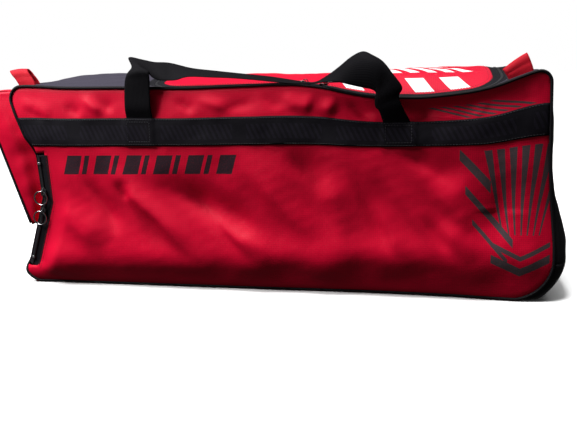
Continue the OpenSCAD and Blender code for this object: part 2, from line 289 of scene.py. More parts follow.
# folds of the front cloth as (line of (x, z), height, width)
FRONT_FOLDS = [
    ([(-364, 184), (-332, 124), (-272, 72)], 8, 30),
    ([(-318, 214), (-284, 168), (-262, 128), (-246, 92)], -8, 14),
    ([(-276, 236), (-240, 200), (-204, 164), (-166, 132), (-124, 88), (-84, 52)], 14, 18),
    ([(-246, 206), (-236, 184), (-226, 162)], -6, 12),
    ([(-180, 206), (-92, 160), (-38, 126), (28, 82)], -16, 24),
    ([(-92, 172), (-50, 128), (-12, 94), (38, 52)], 14, 16),
    ([(-420, 34), (-380, 24), (-330, 14)], 6, 13),
    ([(-20, 236), (30, 190), (84, 130), (110, 90)], 9, 26),
    ([(60, 250), (110, 210), (140, 160)], -7, 22),
    ([(120, 232), (150, 164), (176, 92)], 7, 22),
    ([(168, 240), (196, 172), (228, 104), (262, 52)], -4, 12),
    ([(214, 176), (240, 118), (270, 62)], 5, 16),
    ([(232, 240), (250, 190), (284, 138), (322, 92)], 7, 20),
    ([(288, 150), (318, 108), (346, 64)], -5, 12),
    ([(322, 136), (350, 100), (380, 62)], 7, 15),
    ([(252, 256), (306, 226), (360, 184)], -9, 22),
    ([(300, 200), (350, 150), (384, 110)], 7, 22),
    ([(410, 214), (420, 150), (404, 80)], -6, 22),
    ([(116, 366), (108, 340), (94, 314)], 4, 10),
    ([(152, 366), (146, 340), (132, 312)], 6.5, 11),
    ([(164, 366), (186, 340), (216, 310)], -7, 13),
    ([(60, 356), (84, 334), (88, 316)], 4.5, 14),
    ([(22, 354), (48, 336), (56, 318)], -3.5, 13),
    ([(296, 330), (326, 322), (356, 315)], 4.5, 11),
    ([(330, 340), (372, 334), (410, 330)], -3.5, 11),
    ([(400, 344), (384, 330), (372, 314)], 3.5, 10),
    ([(456, 358), (470, 334), (492, 318)], 4.5, 12),
    ([(-312, 360), (-286, 340), (-262, 318)], 5.5, 12),
    ([(-286, 356), (-262, 338), (-240, 322)], -4.5, 11),
    ([(-340, 340), (-320, 326), (-300, 316)], -3.5, 12),
    ([(-436, 356), (-404, 330), (-356, 316)], 5, 14),
    ([(-420, 334), (-390, 318), (-370, 314)], -3.5, 11),
    ([(-96, 356), (-60, 340), (-20, 322)], 5, 13),
    ([(-130, 356), (-112, 338), (-90, 322)], -4.5, 12),
    ([(-60, 326), (-10, 332), (30, 340)], -3, 13),
]
# the same for the back cloth
BACK_FOLDS = [
    ([(-380, 240), (-300, 150), (-160, 70)], 8, 20),
    ([(-250, 250), (-190, 170), (-60, 110)], -7, 22),
    ([(-60, 220), (20, 120), (150, 60)], 8, 22),
    ([(120, 250), (190, 170), (230, 80)], -6, 20),
    ([(420, 240), (340, 150), (250, 70)], 8, 20),
    ([(460, 180), (400, 110), (340, 50)], -5, 16),
    ([(-400, 90), (-300, 60), (-160, 48)], 6, 24),
    ([(60, 352), (110, 322)], 5, 12),
    ([(-220, 352), (-260, 320)], 5, 12),
    ([(330, 350), (290, 318)], 5, 12),
]


def folds_height(x, z, folds):
    """sum of folds: each is a ridge along its line, fading at both ends, steeper below"""
    total = 0
    for line, height, width in folds:
        line = spline(line, 4 * len(line) - 3)
        lengths = np.linalg.norm(np.diff(line, axis=0), axis=1)
        whole, done = lengths.sum(), 0
        near, at, below = np.full(np.shape(x), 1e9), np.zeros(np.shape(x)), np.zeros(np.shape(x), bool)
        for a, b, length in zip(line[:-1], line[1:], lengths):
            d = (b - a) / length
            t = np.clip((x - a[0]) * d[0] + (z - a[1]) * d[1], 0, length)
            gap = np.hypot(x - a[0] - t * d[0], z - a[1] - t * d[1])
            closer = gap < near
            near = np.where(closer, gap, near)
            at = np.where(closer, (done + t) / whole, at)
            below = np.where(closer, z < a[1] + t * d[1], below)
            done += length
        w = np.where(below, width * 0.72, width * 1.2)
        total = total + height * smooth(0, 0.45, at) * smooth(1, 0.62, at) * np.exp(-((near / w) ** 2))
    return total


def front_out(x, z):
    """how far the front cloth stands out of its flat plane"""
    edge = -polygon_distance(x, z, OUTLINE)
    zip_free = 1 - near_zip(z) * smooth(58, 12, zip_side(x, z))
    calm = smooth(0, 46, edge) * zip_free
    turn = through(x, [-480, -382, -101, 85, 191, 341, 520], [40, 42, 46, 55, 65, 61, 50])
    right = smooth(330, 460, x)
    belly = 5 * smooth(0, 120, z) * smooth(330, 200, z)
    keel = 6 * bump(z, turn + 12, 27) * smooth(-470, -390, x) * (1 - right)
    wave = 3.0 * bump(z, 48, 26) * ripples(x, 0 * z, 150, 8)
    uneven = 1.3 * ripples(x, z, 120, 3) + 0.35 * ripples(x, z, 46, 4) + 0.1 * ripples(x, z, 19, 5)
    full = calm * (belly + keel + wave + uneven + folds_height(x, z, FRONT_FOLDS))
    push = through(x, [-480, -300, 0, 255, 357, 447, 520], [1, 2, 3, 4, 9, 15, 11])
    low = smooth(165, 55, z) * (push + 10 * (1 - right) * smooth(-480, -390, x)) * zip_free
    tuck = 16 * (1 - np.clip(z / (turn + 4), 0, 1)) ** 1.6 * smooth(-480, -390, x) * (1 - 0.8 * right)
    cave = -11 * bump(x, 330, 120) * bump(z, 338, 24) - 5 * bump(x, 250, 60) * bump(z, 300, 40)
    lean = -6 * smooth(312, 368, z) * smooth(160, 60, x)
    out = full + low - tuck + cave * smooth(0, 14, edge) + lean - 2.0 * bump(edge, 0, 6)
    return np.where(out > 17, 17 + 8 * np.tanh((out - 17) / 8), out)


def sinking(z):
    """the share of the top edge's sag that a point at height z has"""
    return np.clip((z - 190) / (TOP - 190), 0, 1.1) ** 1.7


def front_shape(x, z, off=0.0):
    """where the point (x, z) of the flat front panel is on the hanging cloth"""
    x, z = np.broadcast_arrays(np.asarray(x, float), np.asarray(z, float))
    drop = through(x, DIP_AT, DIP) * sinking(z)
    drop = drop + 8 * smooth(380, 490, x) * bump(z, 285, 62)
    past = np.maximum(-1.5 - zip_side(x, z), 0)
    past = (np.sqrt(past**2 + 9) - 3) * near_zip(z)
    past = np.minimum(past, 22)
    return x + 0.52 * past, -FRONT - front_out(x, z) - off + 0.95 * past, np.maximum(z + drop, 0.4)


def back_shape(x, z, off=0.0):
    """the same for the back panel"""
    x, z = np.broadcast_arrays(np.asarray(x, float), np.asarray(z, float))
    edge = -polygon_distance(x, z, OUTLINE)
    drop = through(x, [-480, -300, -60, 120, 300, 500], [0, -3, -7, -6, -9, 0])
    uneven = 1.6 * ripples(x, z, 130, 13) + 0.6 * ripples(x, z, 50, 14)
    out = smooth(0, 46, edge) * (7 + folds_height(x, z, BACK_FOLDS) + uneven) - 2 * bump(edge, 0, 6)
    out = out - 9 * (1 - np.clip(z / 58, 0, 1)) ** 1.7
    return x, FRONT + out + off, np.maximum(z + drop * sinking(z), 0.4)


def lid_distance(x, y, grow):
    """distance to the lid's zipper line grown by grow, negative inside, open at the back"""
    r = LID_R + grow
    qx = np.abs(x - (LID_LEFT + LID_RIGHT) / 2) - (LID_RIGHT - LID_LEFT) / 2 - grow + r
    qy = LID_FRONT - grow - y + r
    return np.hypot(np.maximum(qx, 0), np.maximum(qy, 0)) + np.minimum(np.maximum(qx, qy), 0) - r


CROWN_AT = [-470, -420, -370, -280, -200, -133, 0, 160, 300, 410, 500]
CROWN = [5, 13, 17, 18, 15, 11, 7, 7, 11, 8, 1]
REACH = 54.0  # how far the panels' shapes reach into the boxing


def crown(x, y):
    """how far the top swells above its flat plane"""
    high = through(x, CROWN_AT, CROWN)
    across = np.cos(math.pi * np.clip(y + 8, -200, 200) / 400) ** 2
    gutter = 3.5 * bump(lid_distance(x, y, 0), 0, 18) * smooth(HINGE[1], 60, y)
    return high * across + across * (1.4 * ripples(x, y, 150, 21) + 0.5 * ripples(x, y, 60, 22)) - gutter


def box_shape(x, y, z, nx, nz, off=0.0):
    """where a point of the boxing is on the hanging cloth; nx, nz is its outward direction"""
    fx, fy, fz = front_shape(x, z)
    bx, by, bz = back_shape(x, z)
    wf, wb = bump(np.maximum(y + FRONT - 38, 0), 0, REACH), bump(np.maximum(FRONT - y - 20, 0), 0, REACH)
    inner = FRONT - np.abs(y)
    end = smooth(0.1, 0.6, nx) * smooth(352, 310, z)
    low = smooth(230, 70, z)
    middling = np.cos(math.pi * y / 2 / FRONT) ** 2
    puff = end * ((5 + 17 * low) * (1 - np.exp(-np.maximum(inner, 0) / 8)) + 9 * middling)
    puff = puff + end * smooth(0, 30, inner) * (1.6 * ripples(z, y, 110, 31) + 0.6 * ripples(z, y, 40, 32))
    left = smooth(0.3, 0.8, -nx) * smooth(0, 60, inner)
    puff = puff + left * (3 * middling + 1.2 * ripples(z, y, 100, 33))
    puff = puff + smooth(0.5, 0.95, nz) * crown(x, y) + off
    return (
        x + (fx - x) * wf + (bx - x) * wb + nx * puff,
        y + (fy + FRONT) * wf + (by - FRONT) * wb,
        np.maximum(z + (fz - z) * wf + (bz - z) * wb + nz * puff, 0.3),
    )


def top_shape(x, y, off=0.0):
    x, y = np.broadcast_arrays(np.asarray(x, float), np.asarray(y, float))
    return box_shape(x, y, np.full(x.shape, TOP), 0 * x, 0 * x + 1, off)


def point_on(shape, a, b, off=0.0):
    """one point of a shape"""
    return np.array([float(c[0]) for c in shape(np.array([float(a)]), np.array([float(b)]), off)])


# ---------------------------------------------------------------- mesh making


def make(name, points, faces, uv, materials, soft=True):
    """an object from points in mm, with flat coordinates in metres in the UV layer"""
    mesh = bpy.data.meshes.new(name)
    mesh.from_pydata((np.asarray(points, float) * MM).tolist(), [], [list(map(int, f)) for f in faces])
    layer = mesh.uv_layers.new(name="flat")
    index = np.empty(len(mesh.loops), int)
    mesh.loops.foreach_get("vertex_index", index)
    layer.data.foreach_set("uv", (np.asarray(uv, float)[index] * MM).astype(np.float32).ravel())
    for material in materials:
        mesh.materials.append(material)
    mesh.polygons.foreach_set("use_smooth", [soft] * len(mesh.polygons))
    mesh.update()
    obj = bpy.data.objects.new(name, mesh)
    bpy.context.scene.collection.objects.link(obj)
    return obj


def grid_quads(rows, columns):
    index = np.arange(rows * columns).reshape(rows, columns)
    return np.stack([index[:-1, :-1], index[1:, :-1], index[1:, 1:], index[:-1, 1:]], -1).reshape(-1, 4)


def grid_mesh(name, points, flat, materials, flip=False):
    """an object from a grid of points (rows, columns, 3); flat is two arrays of flat coordinates"""
    quads = grid_quads(*points.shape[:2])
    uv = np.stack(np.broadcast_arrays(*flat), -1).reshape(-1, 2)
    return make(name, points.reshape(-1, 3), quads[:, ::-1] if flip else quads, uv, materials)


def cut_grid(us, vs, outside=None):
    """a flat grid, cut where outside(u, v) is positive, with the cut edge pulled on to its line"""
    u, v = (a.copy() for a in np.meshgrid(us, vs, indexing="ij"))
    quads = grid_quads(*u.shape)
    if outside is None:
        return u.ravel(), v.ravel(), quads
    cell = max(np.diff(us).mean(), np.diff(vs).mean())
    d = outside(u, v)
    eps = 0.05
    gu = (outside(u + eps, v) - outside(u - eps, v)) / (2 * eps)
    gv = (outside(u, v + eps) - outside(u, v - eps)) / (2 * eps)
    square = np.maximum(gu**2 + gv**2, 0.2)
    near = np.abs(d) < 0.72 * cell
    u = np.where(near, u - d * gu / square, u).ravel()
    v = np.where(near, v - d * gv / square, v).ravel()
    d = np.where(near, 0, d).ravel()
    keep = (d[quads] <= 0).all(1) & (d[quads].min(1) < 0)
    quads = quads[keep]
    used, quads = np.unique(quads, return_inverse=True)
    return u[used], v[used], quads.reshape(-1, 4)


def solid(obj, thickness=CLOTH_T):
    """gives a sheet its thickness, inward, with its second material on the inner side"""
    mod = obj.modifiers.new("thickness", "SOLIDIFY")
    mod.thickness = thickness * MM
    mod.offset = -1
    mod.use_even_offset = False
    if len(obj.data.materials) > 1:
        mod.material_offset = 1
    return obj


def cloth(name, grid, shape, materials, flip=False, thickness=CLOTH_T):
    """a sheet of cloth: a flat grid (u, v, quads) put in place by shape(u, v)"""
    u, v, quads = grid
    points = np.stack(shape(u, v), 1)
    obj = make(name, points, quads[:, ::-1] if flip else quads, np.stack([u, v], 1), materials)
    return solid(obj, thickness)


def span(a, b, step):
    return np.linspace(a, b, max(2, int(round(abs(b - a) / step)) + 1))


def frames(path, up, closed=False):
    """two unit directions across a path, the second as near to up as it can be"""
    ahead = np.roll(path, -1, 0) - np.roll(path, 1, 0)
    if not closed:
        ahead[0], ahead[-1] = path[1] - path[0], path[-1] - path[-2]
    ahead = unit(ahead)
    up = np.broadcast_to(np.asarray(up, float), path.shape)
    side = np.cross(ahead, up)
    side /= np.maximum(np.linalg.norm(side, axis=1), 1e-9)[:, None]
    return side, np.cross(side, ahead)


def sweep(path, section, up, closed=False):
    """points and faces of a closed section (n, 2) carried along a path"""
    path, section = np.asarray(path, float), np.asarray(section, float)
    side, top = frames(path, up, closed)
    n, m = len(path), len(section)
    points = path[:, None] + section[None, :, :1] * side[:, None] + section[None, :, 1:] * top[:, None]
    i, j = np.meshgrid(np.arange(n if closed else n - 1), np.arange(m), indexing="ij")
    k, l = (i + 1) % n, (j + 1) % m
    faces = np.stack([i * m + j, i * m + l, k * m + l, k * m + j], -1).reshape(-1, 4).tolist()
    if not closed:
        faces += [list(range(m))[::-1], list(range((n - 1) * m, n * m))]
    uv = np.stack(np.broadcast_arrays(run_along(section)[None, :], run_along(path)[:, None]), -1).reshape(-1, 2)
    return points.reshape(-1, 3), faces, uv


def disc(rx, rz=None, sides=10):
    a = np.arange(sides) * math.tau / sides
    return np.stack([rx * np.cos(a), (rz or rx) * np.sin(a)], 1)


class Parts:
    """many small shapes gathered into one object"""

    def __init__(self):
        self.points, self.faces, self.uv, self.count = [], [], [], 0

    def add(self, points, faces, uv=None, place=None):
        points = np.asarray(points, float)
        if place is not None:
            points = points @ place[:3, :3].T + place[:3, 3]
        self.faces += [[int(i) + self.count for i in f] for f in faces]
        self.points.append(points)
        self.uv.append(np.zeros((len(points), 2)) if uv is None else np.asarray(uv))
        self.count += len(points)
        return self

    def obj(self, name, materials, soft=True):
        made = make(name, np.vstack(self.points), self.faces, np.vstack(self.uv), materials, soft)
        work = bmesh.new()
        work.from_mesh(made.data)
        bmesh.ops.recalc_face_normals(work, faces=work.faces)
        work.to_mesh(made.data)
        work.free()
        return made


def plate_parts(loops, z0, z1, bevel):
    """points and faces of a flat plate with rounded edges; the loops after the first are holes"""
    data = bpy.data.curves.new("plate", "CURVE")
    data.dimensions = "2D"
    data.fill_mode = "BOTH"
    data.extrude = (z1 - z0) / 2 - bevel
    data.bevel_depth = bevel
    data.bevel_resolution = 1
    data.offset = -bevel
    for loop in loops:
        line = data.splines.new("POLY")
        line.points.add(len(loop) - 1)
        line.points.foreach_set("co", np.hstack([loop, np.tile([0.0, 1.0], (len(loop), 1))]).ravel())
        line.use_cyclic_u = True
    obj = bpy.data.objects.new("plate", data)
    mesh = bpy.data.meshes.new_from_object(obj)
    points = np.array([v.co for v in mesh.vertices], float) + [0, 0, (z0 + z1) / 2]
    faces = [list(p.vertices) for p in mesh.polygons]
    bpy.data.objects.remove(obj)
    bpy.data.curves.remove(data)
    bpy.data.meshes.remove(mesh)
    return points, faces


STITCH, STITCH_GAP = 3.2, 1.5  # a stitch's length and the gap to the next


def stitch_parts(parts, line, out, thick):
    """a row of stitches along a line of points, standing off in the direction out"""
    line, out = np.asarray(line, float), np.broadcast_to(np.asarray(out, float), np.shape(line))
    run = run_along(line)

    def at(s, values):
        return np.stack([np.interp(s, run, values[:, k]) for k in range(3)], -1)

    # (place along the stitch, share of its thickness)
    shape = [(-0.5, 0.25), (-0.25, 0.9), (0.25, 0.9), (0.5, 0.25)]
    for start in np.arange(STITCH_GAP, run[-1] - STITCH, STITCH + STITCH_GAP):
        mid = start + STITCH / 2
        path = at(np.array([mid + t * STITCH for t, _ in shape]), line)
        lift = unit(at(np.array([mid]), out)[0])
        ahead = path[-1] - path[0]
        side = np.cross(ahead, lift)
        side /= max(np.linalg.norm(side), 1e-9)
        ring = []
        for p, (_, fat) in zip(path, shape):
            r = thick * fat
            ring += [p + side * r, p + lift * r * 1.3, p - side * r, p - lift * r * 0.6]
        steps = [(4 * i + j, 4 * i + (j + 1) % 4) for i in range(3) for j in range(4)]
        parts.add(ring, [[a, b, b + 4, a + 4] for a, b in steps] + [[3, 2, 1, 0], [12, 13, 14, 15]])


def stitch_on(parts, line, shape, off, out, thick=0.38):
    """stitches along a flat line that shape puts in place"""
    stitch_parts(parts, np.stack(shape(line[:, 0], line[:, 1], off), 1), out, thick)


# ---------------------------------------------------------------- materials


def plug(tree, slot, item):
    """sets a socket to a number or a colour, or links another socket to it"""
    item = getattr(item, "socket", item)
    if isinstance(item, bpy.types.NodeSocket):
        tree.links.new(item, slot)
    else:
        slot.default_value = (*item, 1) if isinstance(item, tuple) else item


class Value:
    """arithmetic on shader sockets"""

    def __init__(self, tree, socket):
        self.tree, self.socket = tree, socket

    def act(self, operation, *others, clamp=False):
        node = self.tree.nodes.new("ShaderNodeMath")
        node.operation = operation
        node.use_clamp = clamp
        for slot, item in zip(node.inputs, (self, *others)):
            plug(self.tree, slot, item)
        return Value(self.tree, node.outputs[0])

    __add__ = partialmethod(act, "ADD")
    __sub__ = partialmethod(act, "SUBTRACT")
    __mul__ = partialmethod(act, "MULTIPLY")
    __truediv__ = partialmethod(act, "DIVIDE")
    __gt__ = partialmethod(act, "GREATER_THAN")
    __lt__ = partialmethod(act, "LESS_THAN")

    def between(self, a, b):
        return (self > a) * (self < b)


def any_of(*masks):
    """1 where at least one mask is 1"""
    return reduce(lambda a, b: a.act("MAXIMUM", b), masks)


class Paint:
    """a Principled material with helpers for procedural detail"""

    def __init__(self, name, colour, rough, metallic=0.0, specular=0.5, coat=0.0):
        self.material = bpy.data.materials.new(name)
        self.material.use_nodes = True
        self.material.diffuse_color = (*colour, 1)
        self.tree = self.material.node_tree
        self.shader = next(n for n in self.tree.nodes if n.type == "BSDF_PRINCIPLED")
        self.colour = colour
        plain = {"Base Color": colour, "Roughness": rough, "Metallic": metallic}
        plain |= {"Specular IOR Level": specular, "Coat Weight": coat}
        self.dress(self.shader, plain)

    def dress(self, node, values):
        for key, value in values.items():
            if value is not None:
                plug(self.tree, node.inputs[key], value)
        return node

    def node(self, kind, **values):
        return self.dress(self.tree.nodes.new(kind), values)

    def flat(self):
        """the cloth's flat coordinates in mm"""
        source = self.tree.nodes.new("ShaderNodeUVMap")
        source.uv_map = "flat"
        split = self.tree.nodes.new("ShaderNodeSeparateXYZ")
        self.tree.links.new(source.outputs["UV"], split.inputs[0])
        return tuple(Value(self.tree, split.outputs[i]) * 1000.0 for i in (0, 1))

    def place(self):
        return self.tree.nodes.new("ShaderNodeTexCoord").outputs["Object"]

    def vector(self, *values):
        node = self.tree.nodes.new("ShaderNodeCombineXYZ")
        for slot, value in zip(node.inputs, values):
            plug(self.tree, slot, value)
        return node.outputs[0]

    def noise(self, vector, scale, detail=2.0, rough=0.5):
        node = self.node("ShaderNodeTexNoise", Vector=vector, Scale=scale, Detail=detail, Roughness=rough)
        return Value(self.tree, node.outputs["Fac"])

    def mix(self, factor, a, b):
        """colour a where factor is 0 and b where it is 1; a and b are colours or sockets"""
        node = self.tree.nodes.new("ShaderNodeMix")
        node.data_type = "RGBA"
        # slots 6 and 7 are the node's two colours
        for slot, item in ((0, factor), (6, a), (7, b)):
            plug(self.tree, node.inputs[slot], item)
        return node.outputs[2]

    def tint(self, share):
        return tuple(c * share for c in self.colour)

    def finish(self, colour=None, rough=None, height=None, strength=0.4, distance=0.0004):
        if height is not None:
            height = self.node("ShaderNodeBump", Strength=strength, Distance=distance, Height=height).outputs[0]
        self.dress(self.shader, {"Base Color": colour, "Roughness": rough, "Normal": height})
        return self.material


def wave(value, length):
    """0 to 1 and back over length, smoothly"""
    return (value * (math.tau / length)).act("SINE") * 0.5 + 0.5


def woven(name, colour, rough=0.45, grid=3.2, prints=(), specular=0.12):
    """coated plain weave with a thicker thread at every step of the grid; prints are (mask maker, colour)"""
    paint = Paint(name, colour, rough, specular=specular)
    u, v = paint.flat()
    flat = paint.vector(u, v)
    cloudy = paint.noise(flat, 0.012, 3.0)
    fine = paint.noise(flat, 0.35, 2.0)
    threads = wave(u, 0.9) * wave(v, 0.9)
    thick_u = (u / grid).act("FRACT") < 0.24
    thick_v = (v / grid).act("FRACT") < 0.24
    raised = thick_u.act("MAXIMUM", thick_v)
    shade = raised * 0.3 + cloudy * 0.35 + fine * 0.22 - 0.18
    result = paint.mix(shade.act("MAXIMUM", 0.0, clamp=True), colour, paint.tint(0.55))
    for mask, ink in prints:
        worn = mask(u, v) * (fine * 0.3 + 0.84).act("MINIMUM", 0.99)
        result = paint.mix(worn, result, ink)
    height = threads * 0.35 + raised * 0.65 + fine * 0.4
    return paint.finish(result, cloudy * 0.16 + (rough - 0.08), height, 0.45, 0.0003)


def webbing(name, colour, rough=0.72, rib=2.1, jacquard=False, light=2.4, specular=0.12):
    """ribbed narrow webbing; v runs along it, or u on the jacquard, which has a row of slanted dashes"""
    paint = Paint(name, colour, rough, specular=specular)
    u, v = paint.flat()
    if jacquard:
        u, v = v, u
    flat = paint.vector(u, v)
    fine = paint.noise(flat, 0.6, 3.0)
    soft = paint.noise(flat, 0.03, 2.0)
    ribs = wave(u, rib)
    picks = wave(v + wave(u, rib * 2) * 0.5, 1.1)
    height = ribs * 0.7 + picks * 0.4 + fine * 0.2
    shade = (ribs * 0.5 + picks * 0.35) * (fine * 0.7 + 0.4) * (soft + 0.45)
    result = paint.mix(shade.act("MULTIPLY", 0.7, clamp=True), paint.tint(0.75), paint.tint(light))
    if jacquard:
        inside = u.between(*JACQUARD) * ((v / 154.0).act("FRACT") < 0.84)
        dashes = (((v + u * 0.45) / 9.5).act("FRACT") < 0.5) * inside
        result = paint.mix(dashes * 0.45, result, paint.tint(light * 1.5))
        height = height + dashes * 0.6
    return paint.finish(result, fine * 0.12 + (rough - 0.06), height, 0.6, 0.0004)


def metal(name, colour, rough):
    paint = Paint(name, colour, rough, metallic=1.0)
    place = paint.place()
    scratched = paint.noise(place, 900.0, 4.0, 0.7)
    worn = paint.noise(place, 160.0, 3.0)
    result = paint.mix(worn, colour, paint.tint(0.7))
    return paint.finish(result, scratched * 0.2 + (rough - 0.08), scratched, 0.12, 0.0001)


def enamel(name, colour, rough=0.35, speck=0.3):
    """painted or moulded small parts"""
    paint = Paint(name, colour, rough, specular=0.5, coat=0.1)
    place = paint.place()
    fine = paint.noise(place, 700.0, 3.0)
    worn = paint.noise(place, 120.0, 4.0, 0.6)
    result = paint.mix((worn - 0.5) * speck + 0.1, colour, paint.tint(3.5))
    return paint.finish(result, fine * 0.2 + (rough - 0.1), fine, 0.15, 0.0001)


def slanted(u, v, start, pitch, count, duty, low, high, lean):
    """a row of plain slanted bars"""
    a = (u - v * lean - start) / pitch
    return (a.act("FRACT") < duty) * a.between(0.0, float(count)) * v.between(low, high)


def bar_row(u, v):
    """a plain row of dark bars under the band"""
    wide = slanted(u, v, -412, 58, 6, 0.5, 212, 246, 0.3)
    thin = slanted(u, v, -377, 58, 5, 0.16, 212, 246, 0.3)
    return any_of(wide, thin)


def sweep_bars(u, v):
    """plain tapering stripes that draw together down the right end of the front panel"""
    spread = (v + 20.0) / 270.0
    a = ((u - 452.0) / spread + 62.0) / 19.0
    stripes = (a.act("FRACT") < (v - 40.0) / 330.0) * a.between(0.0, 7.0)
    return stripes * v.between(112.0, 252.0) * (u < 507.0)


def cross_bars(u, v):
    """three slashes beside the stripes and a plain chevron below them"""
    slash = (v - 236.0) + (u - 352.0) * 1.15
    slashes = [(0.0, 20.0, 352.0, 402.0), (46.0, 14.0, 362.0, 438.0), (82.0, 9.0, 374.0, 430.0)]
    slashes = [(slash + down).between(0.0, wide) * u.between(a, b) for down, wide, a, b in slashes]
    chevron = v - (u - 450.0).act("ABSOLUTE") * 0.5
    low = any_of(chevron.between(44.0, 58.0), chevron.between(70.0, 78.0)) * u.between(404.0, 496.0)
    return any_of(*slashes, low)


def high_bars(u, v):
    """slanted stripes above the band"""
    a = (u + v * 2.4 - 1118.0) / 19.0
    return (a.act("FRACT") < 0.48) * a.between(0.0, 6.0) * v.between(315.0, 341.0)


def zip_edge(u, v):
    """the black facing between the end zip and the corner piping"""
    lean = 0.362
    low, high = v.between(36.0, 160.0), v.between(160.0, 246.0)
    corner = (u - v * lean - (LEFT - 14.0)) < 0.0
    binding = (u - v * lean - (ZIP_BEND[0] - ZIP_BEND[1] * lean + 17.5)) < 0.0
    return any_of(corner * low, binding * low, ((u - (ZIP_BEND[0] + 16.5)) < 0.0) * high)


def front_print(u, v):
    return any_of(sweep_bars(u, v), cross_bars(u, v), high_bars(u, v))


def lid_print(u, v):
    """white slanted blocks in four rows"""
    return any_of(
        slanted(u, v, 92, 58, 4, 0.55, -146, -108, -0.5),
        slanted(u, v, 150, 30, 6, 0.55, -88, -44, -0.7),
        slanted(u, v, 226, 60, 2, 0.7, -20, 34, -0.6),
        slanted(u, v, 190, 28, 6, 0.5, 64, 86, -0.6),
    )


JACQUARD = (BAND_LOW + 11, BAND_HIGH - 13)
RED = (0.62, 0.0016, 0.028)
GREY_INK = (0.062, 0.05, 0.056)
DARK_INK = (0.022, 0.014, 0.02)
FACING = (0.006, 0.0055, 0.007)
red = woven("red_fabric", RED, prints=[(front_print, GREY_INK), (bar_row, DARK_INK), (zip_edge, FACING)])
plain_red = woven("red_fabric_plain", RED)
lid_red = woven("lid_fabric", RED, prints=[(lid_print, (0.8, 0.79, 0.79))])
charcoal = woven("charcoal_fabric", (0.044, 0.039, 0.058), specular=0.3)
black = woven("black_fabric", (0.0085, 0.008, 0.0095))
lining = woven("lining", (0.03, 0.03, 0.034), rough=0.65, grid=4.0)
board_skin = woven("board", (0.02, 0.02, 0.022), rough=0.6, grid=5.0)
piping_skin = webbing("piping", (0.006, 0.0055, 0.007), rough=0.5, rib=1.2, light=2.0)
tape_weave = webbing("zip_tape", (0.007, 0.0065, 0.009), rough=0.7, rib=0.8, light=2.2)
coil_nylon = enamel("zip_coil", (0.012, 0.012, 0.014), 0.42)
steel = metal("zip_metal", (0.55, 0.55, 0.57), 0.32)
slider_paint = enamel("slider_metal", (0.018, 0.018, 0.02), 0.3)
chrome = metal("chrome_ring", (0.42, 0.42, 0.44), 0.22)
strap_weave = webbing("webbing", (0.0026, 0.0022, 0.0034), rib=2.4, specular=0.07)
band_weave = webbing("band", (0.0034, 0.0027, 0.005), rib=1.6, jacquard=True, specular=0.1)
tab_weave = webbing("tab_fabric", (0.6, 0.008, 0.024), rough=0.6, rib=1.5, light=1.15)
thread = enamel("thread", (0.10, 0.004, 0.008), 0.6, 0.1)
dark_thread = enamel("dark_thread", (0.018, 0.017, 0.022), 0.6, 0.2)


# ---------------------------------------------------------------- pieces

BAG = "bag"


def settle(obj, body, slot, *nodes):
    """rides on a body and stands for CAD nodes, which it hides; slot is not used"""
    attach(obj, body)
    if nodes:
        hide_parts(*nodes)
    return obj


def sewn(name, node, slot, grid, shape, skins, flip=False):
    """a panel of cloth that stays on the bag"""
    piece = cloth(name, grid, shape, skins, flip=flip)
    settle(piece, BAG, slot, node)


def outline_line(inset=0.0, step=3.0):
    """the panel outline from the left base seam, anticlockwise, with its outward directions"""
    line = resample(OUTLINE, step, closed=True)
    first = int(np.argmin(np.abs(line[:, 1] - BASE_SEAM) + 1e3 * (line[:, 0] > 0)))
    line = np.roll(line, -first, axis=0)
    out = right_of(line, closed=True)
    return line - out * inset, out


# --- the two large panels


def zip_hole(x, z):
    """positive inside the end zip's window in the front panel"""
    ends = np.maximum(z - 250.0, 34.0 - z)
    side = zip_side(x, z)
    waist = 6 * smooth(90, 120, z) * smooth(225, 205, z)
    strip = np.maximum(side - WINDOW, -WINDOW - waist - side)
    return -np.maximum(strip, ends)


def panel_cut(x, z):
    return polygon_distance(x, z, OUTLINE)


def front_cut(x, z):
    return np.maximum(panel_cut(x, z), zip_hole(x, z))


low, high = OUTLINE.min(0), OUTLINE.max(0)
xs, zs = span(low[0], high[0], 4), span(low[1], high[1], 4)
PANELS = (("front", front_cut, front_shape, red), ("back", panel_cut, back_shape, plain_red))
for side, cut, shape, skin in PANELS:
    name, node, grid, skins = f"{side}_cloth", f"{side}_panel", cut_grid(xs, zs, cut), [skin, lining]
    flip = side == "back"
    sewn(name, node, "red_fabric", grid, shape, skins, flip)

# --- the boxing between them

rim, rim_out = outline_line()
rim_run = run_along(rim)
on_top = rim[:, 1] > TOP - 0.5
RUN_RIGHT_BASE = rim_run[np.argmax((rim[:, 1] > BASE_SEAM) & (rim[:, 0] > 0))]
RUN_RIGHT_TOP = rim_run[np.argmax((rim[:, 1] > TOP_SEAM) & (rim[:, 0] > 0))]
RUN_SEAM_RIGHT = rim_run[np.argmax(on_top & (rim[:, 0] < SEAM_RIGHT))]
RUN_SEAM_LEFT = rim_run[np.argmax(on_top & (rim[:, 0] < SEAM_LEFT))]
RUN_LEFT_TOP = rim_run[len(rim) - 1 - np.argmax(rim[::-1, 1] > TOP_SEAM)]


def rim_at(s):
    return tuple(np.interp(s, rim_run, c) for c in (rim[:, 0], rim[:, 1], rim_out[:, 0], rim_out[:, 1]))


def boxing(s, y):
    x, z, nx, nz = rim_at(s)
    return box_shape(x, y, z, nx, nz)


def lid_hole(s, y):
    x = rim_at(s)[0]
    return -np.maximum(lid_distance(x, y, WINDOW), y - HINGE[1] - 0.3)


WIDE = FRONT - 0.8
SKINS = {"black_fabric": black, "red_fabric": plain_red, "charcoal_fabric": charcoal}
WHOLE = (-WIDE, WIDE)
STRIP = (RUN_SEAM_RIGHT, RUN_SEAM_LEFT)
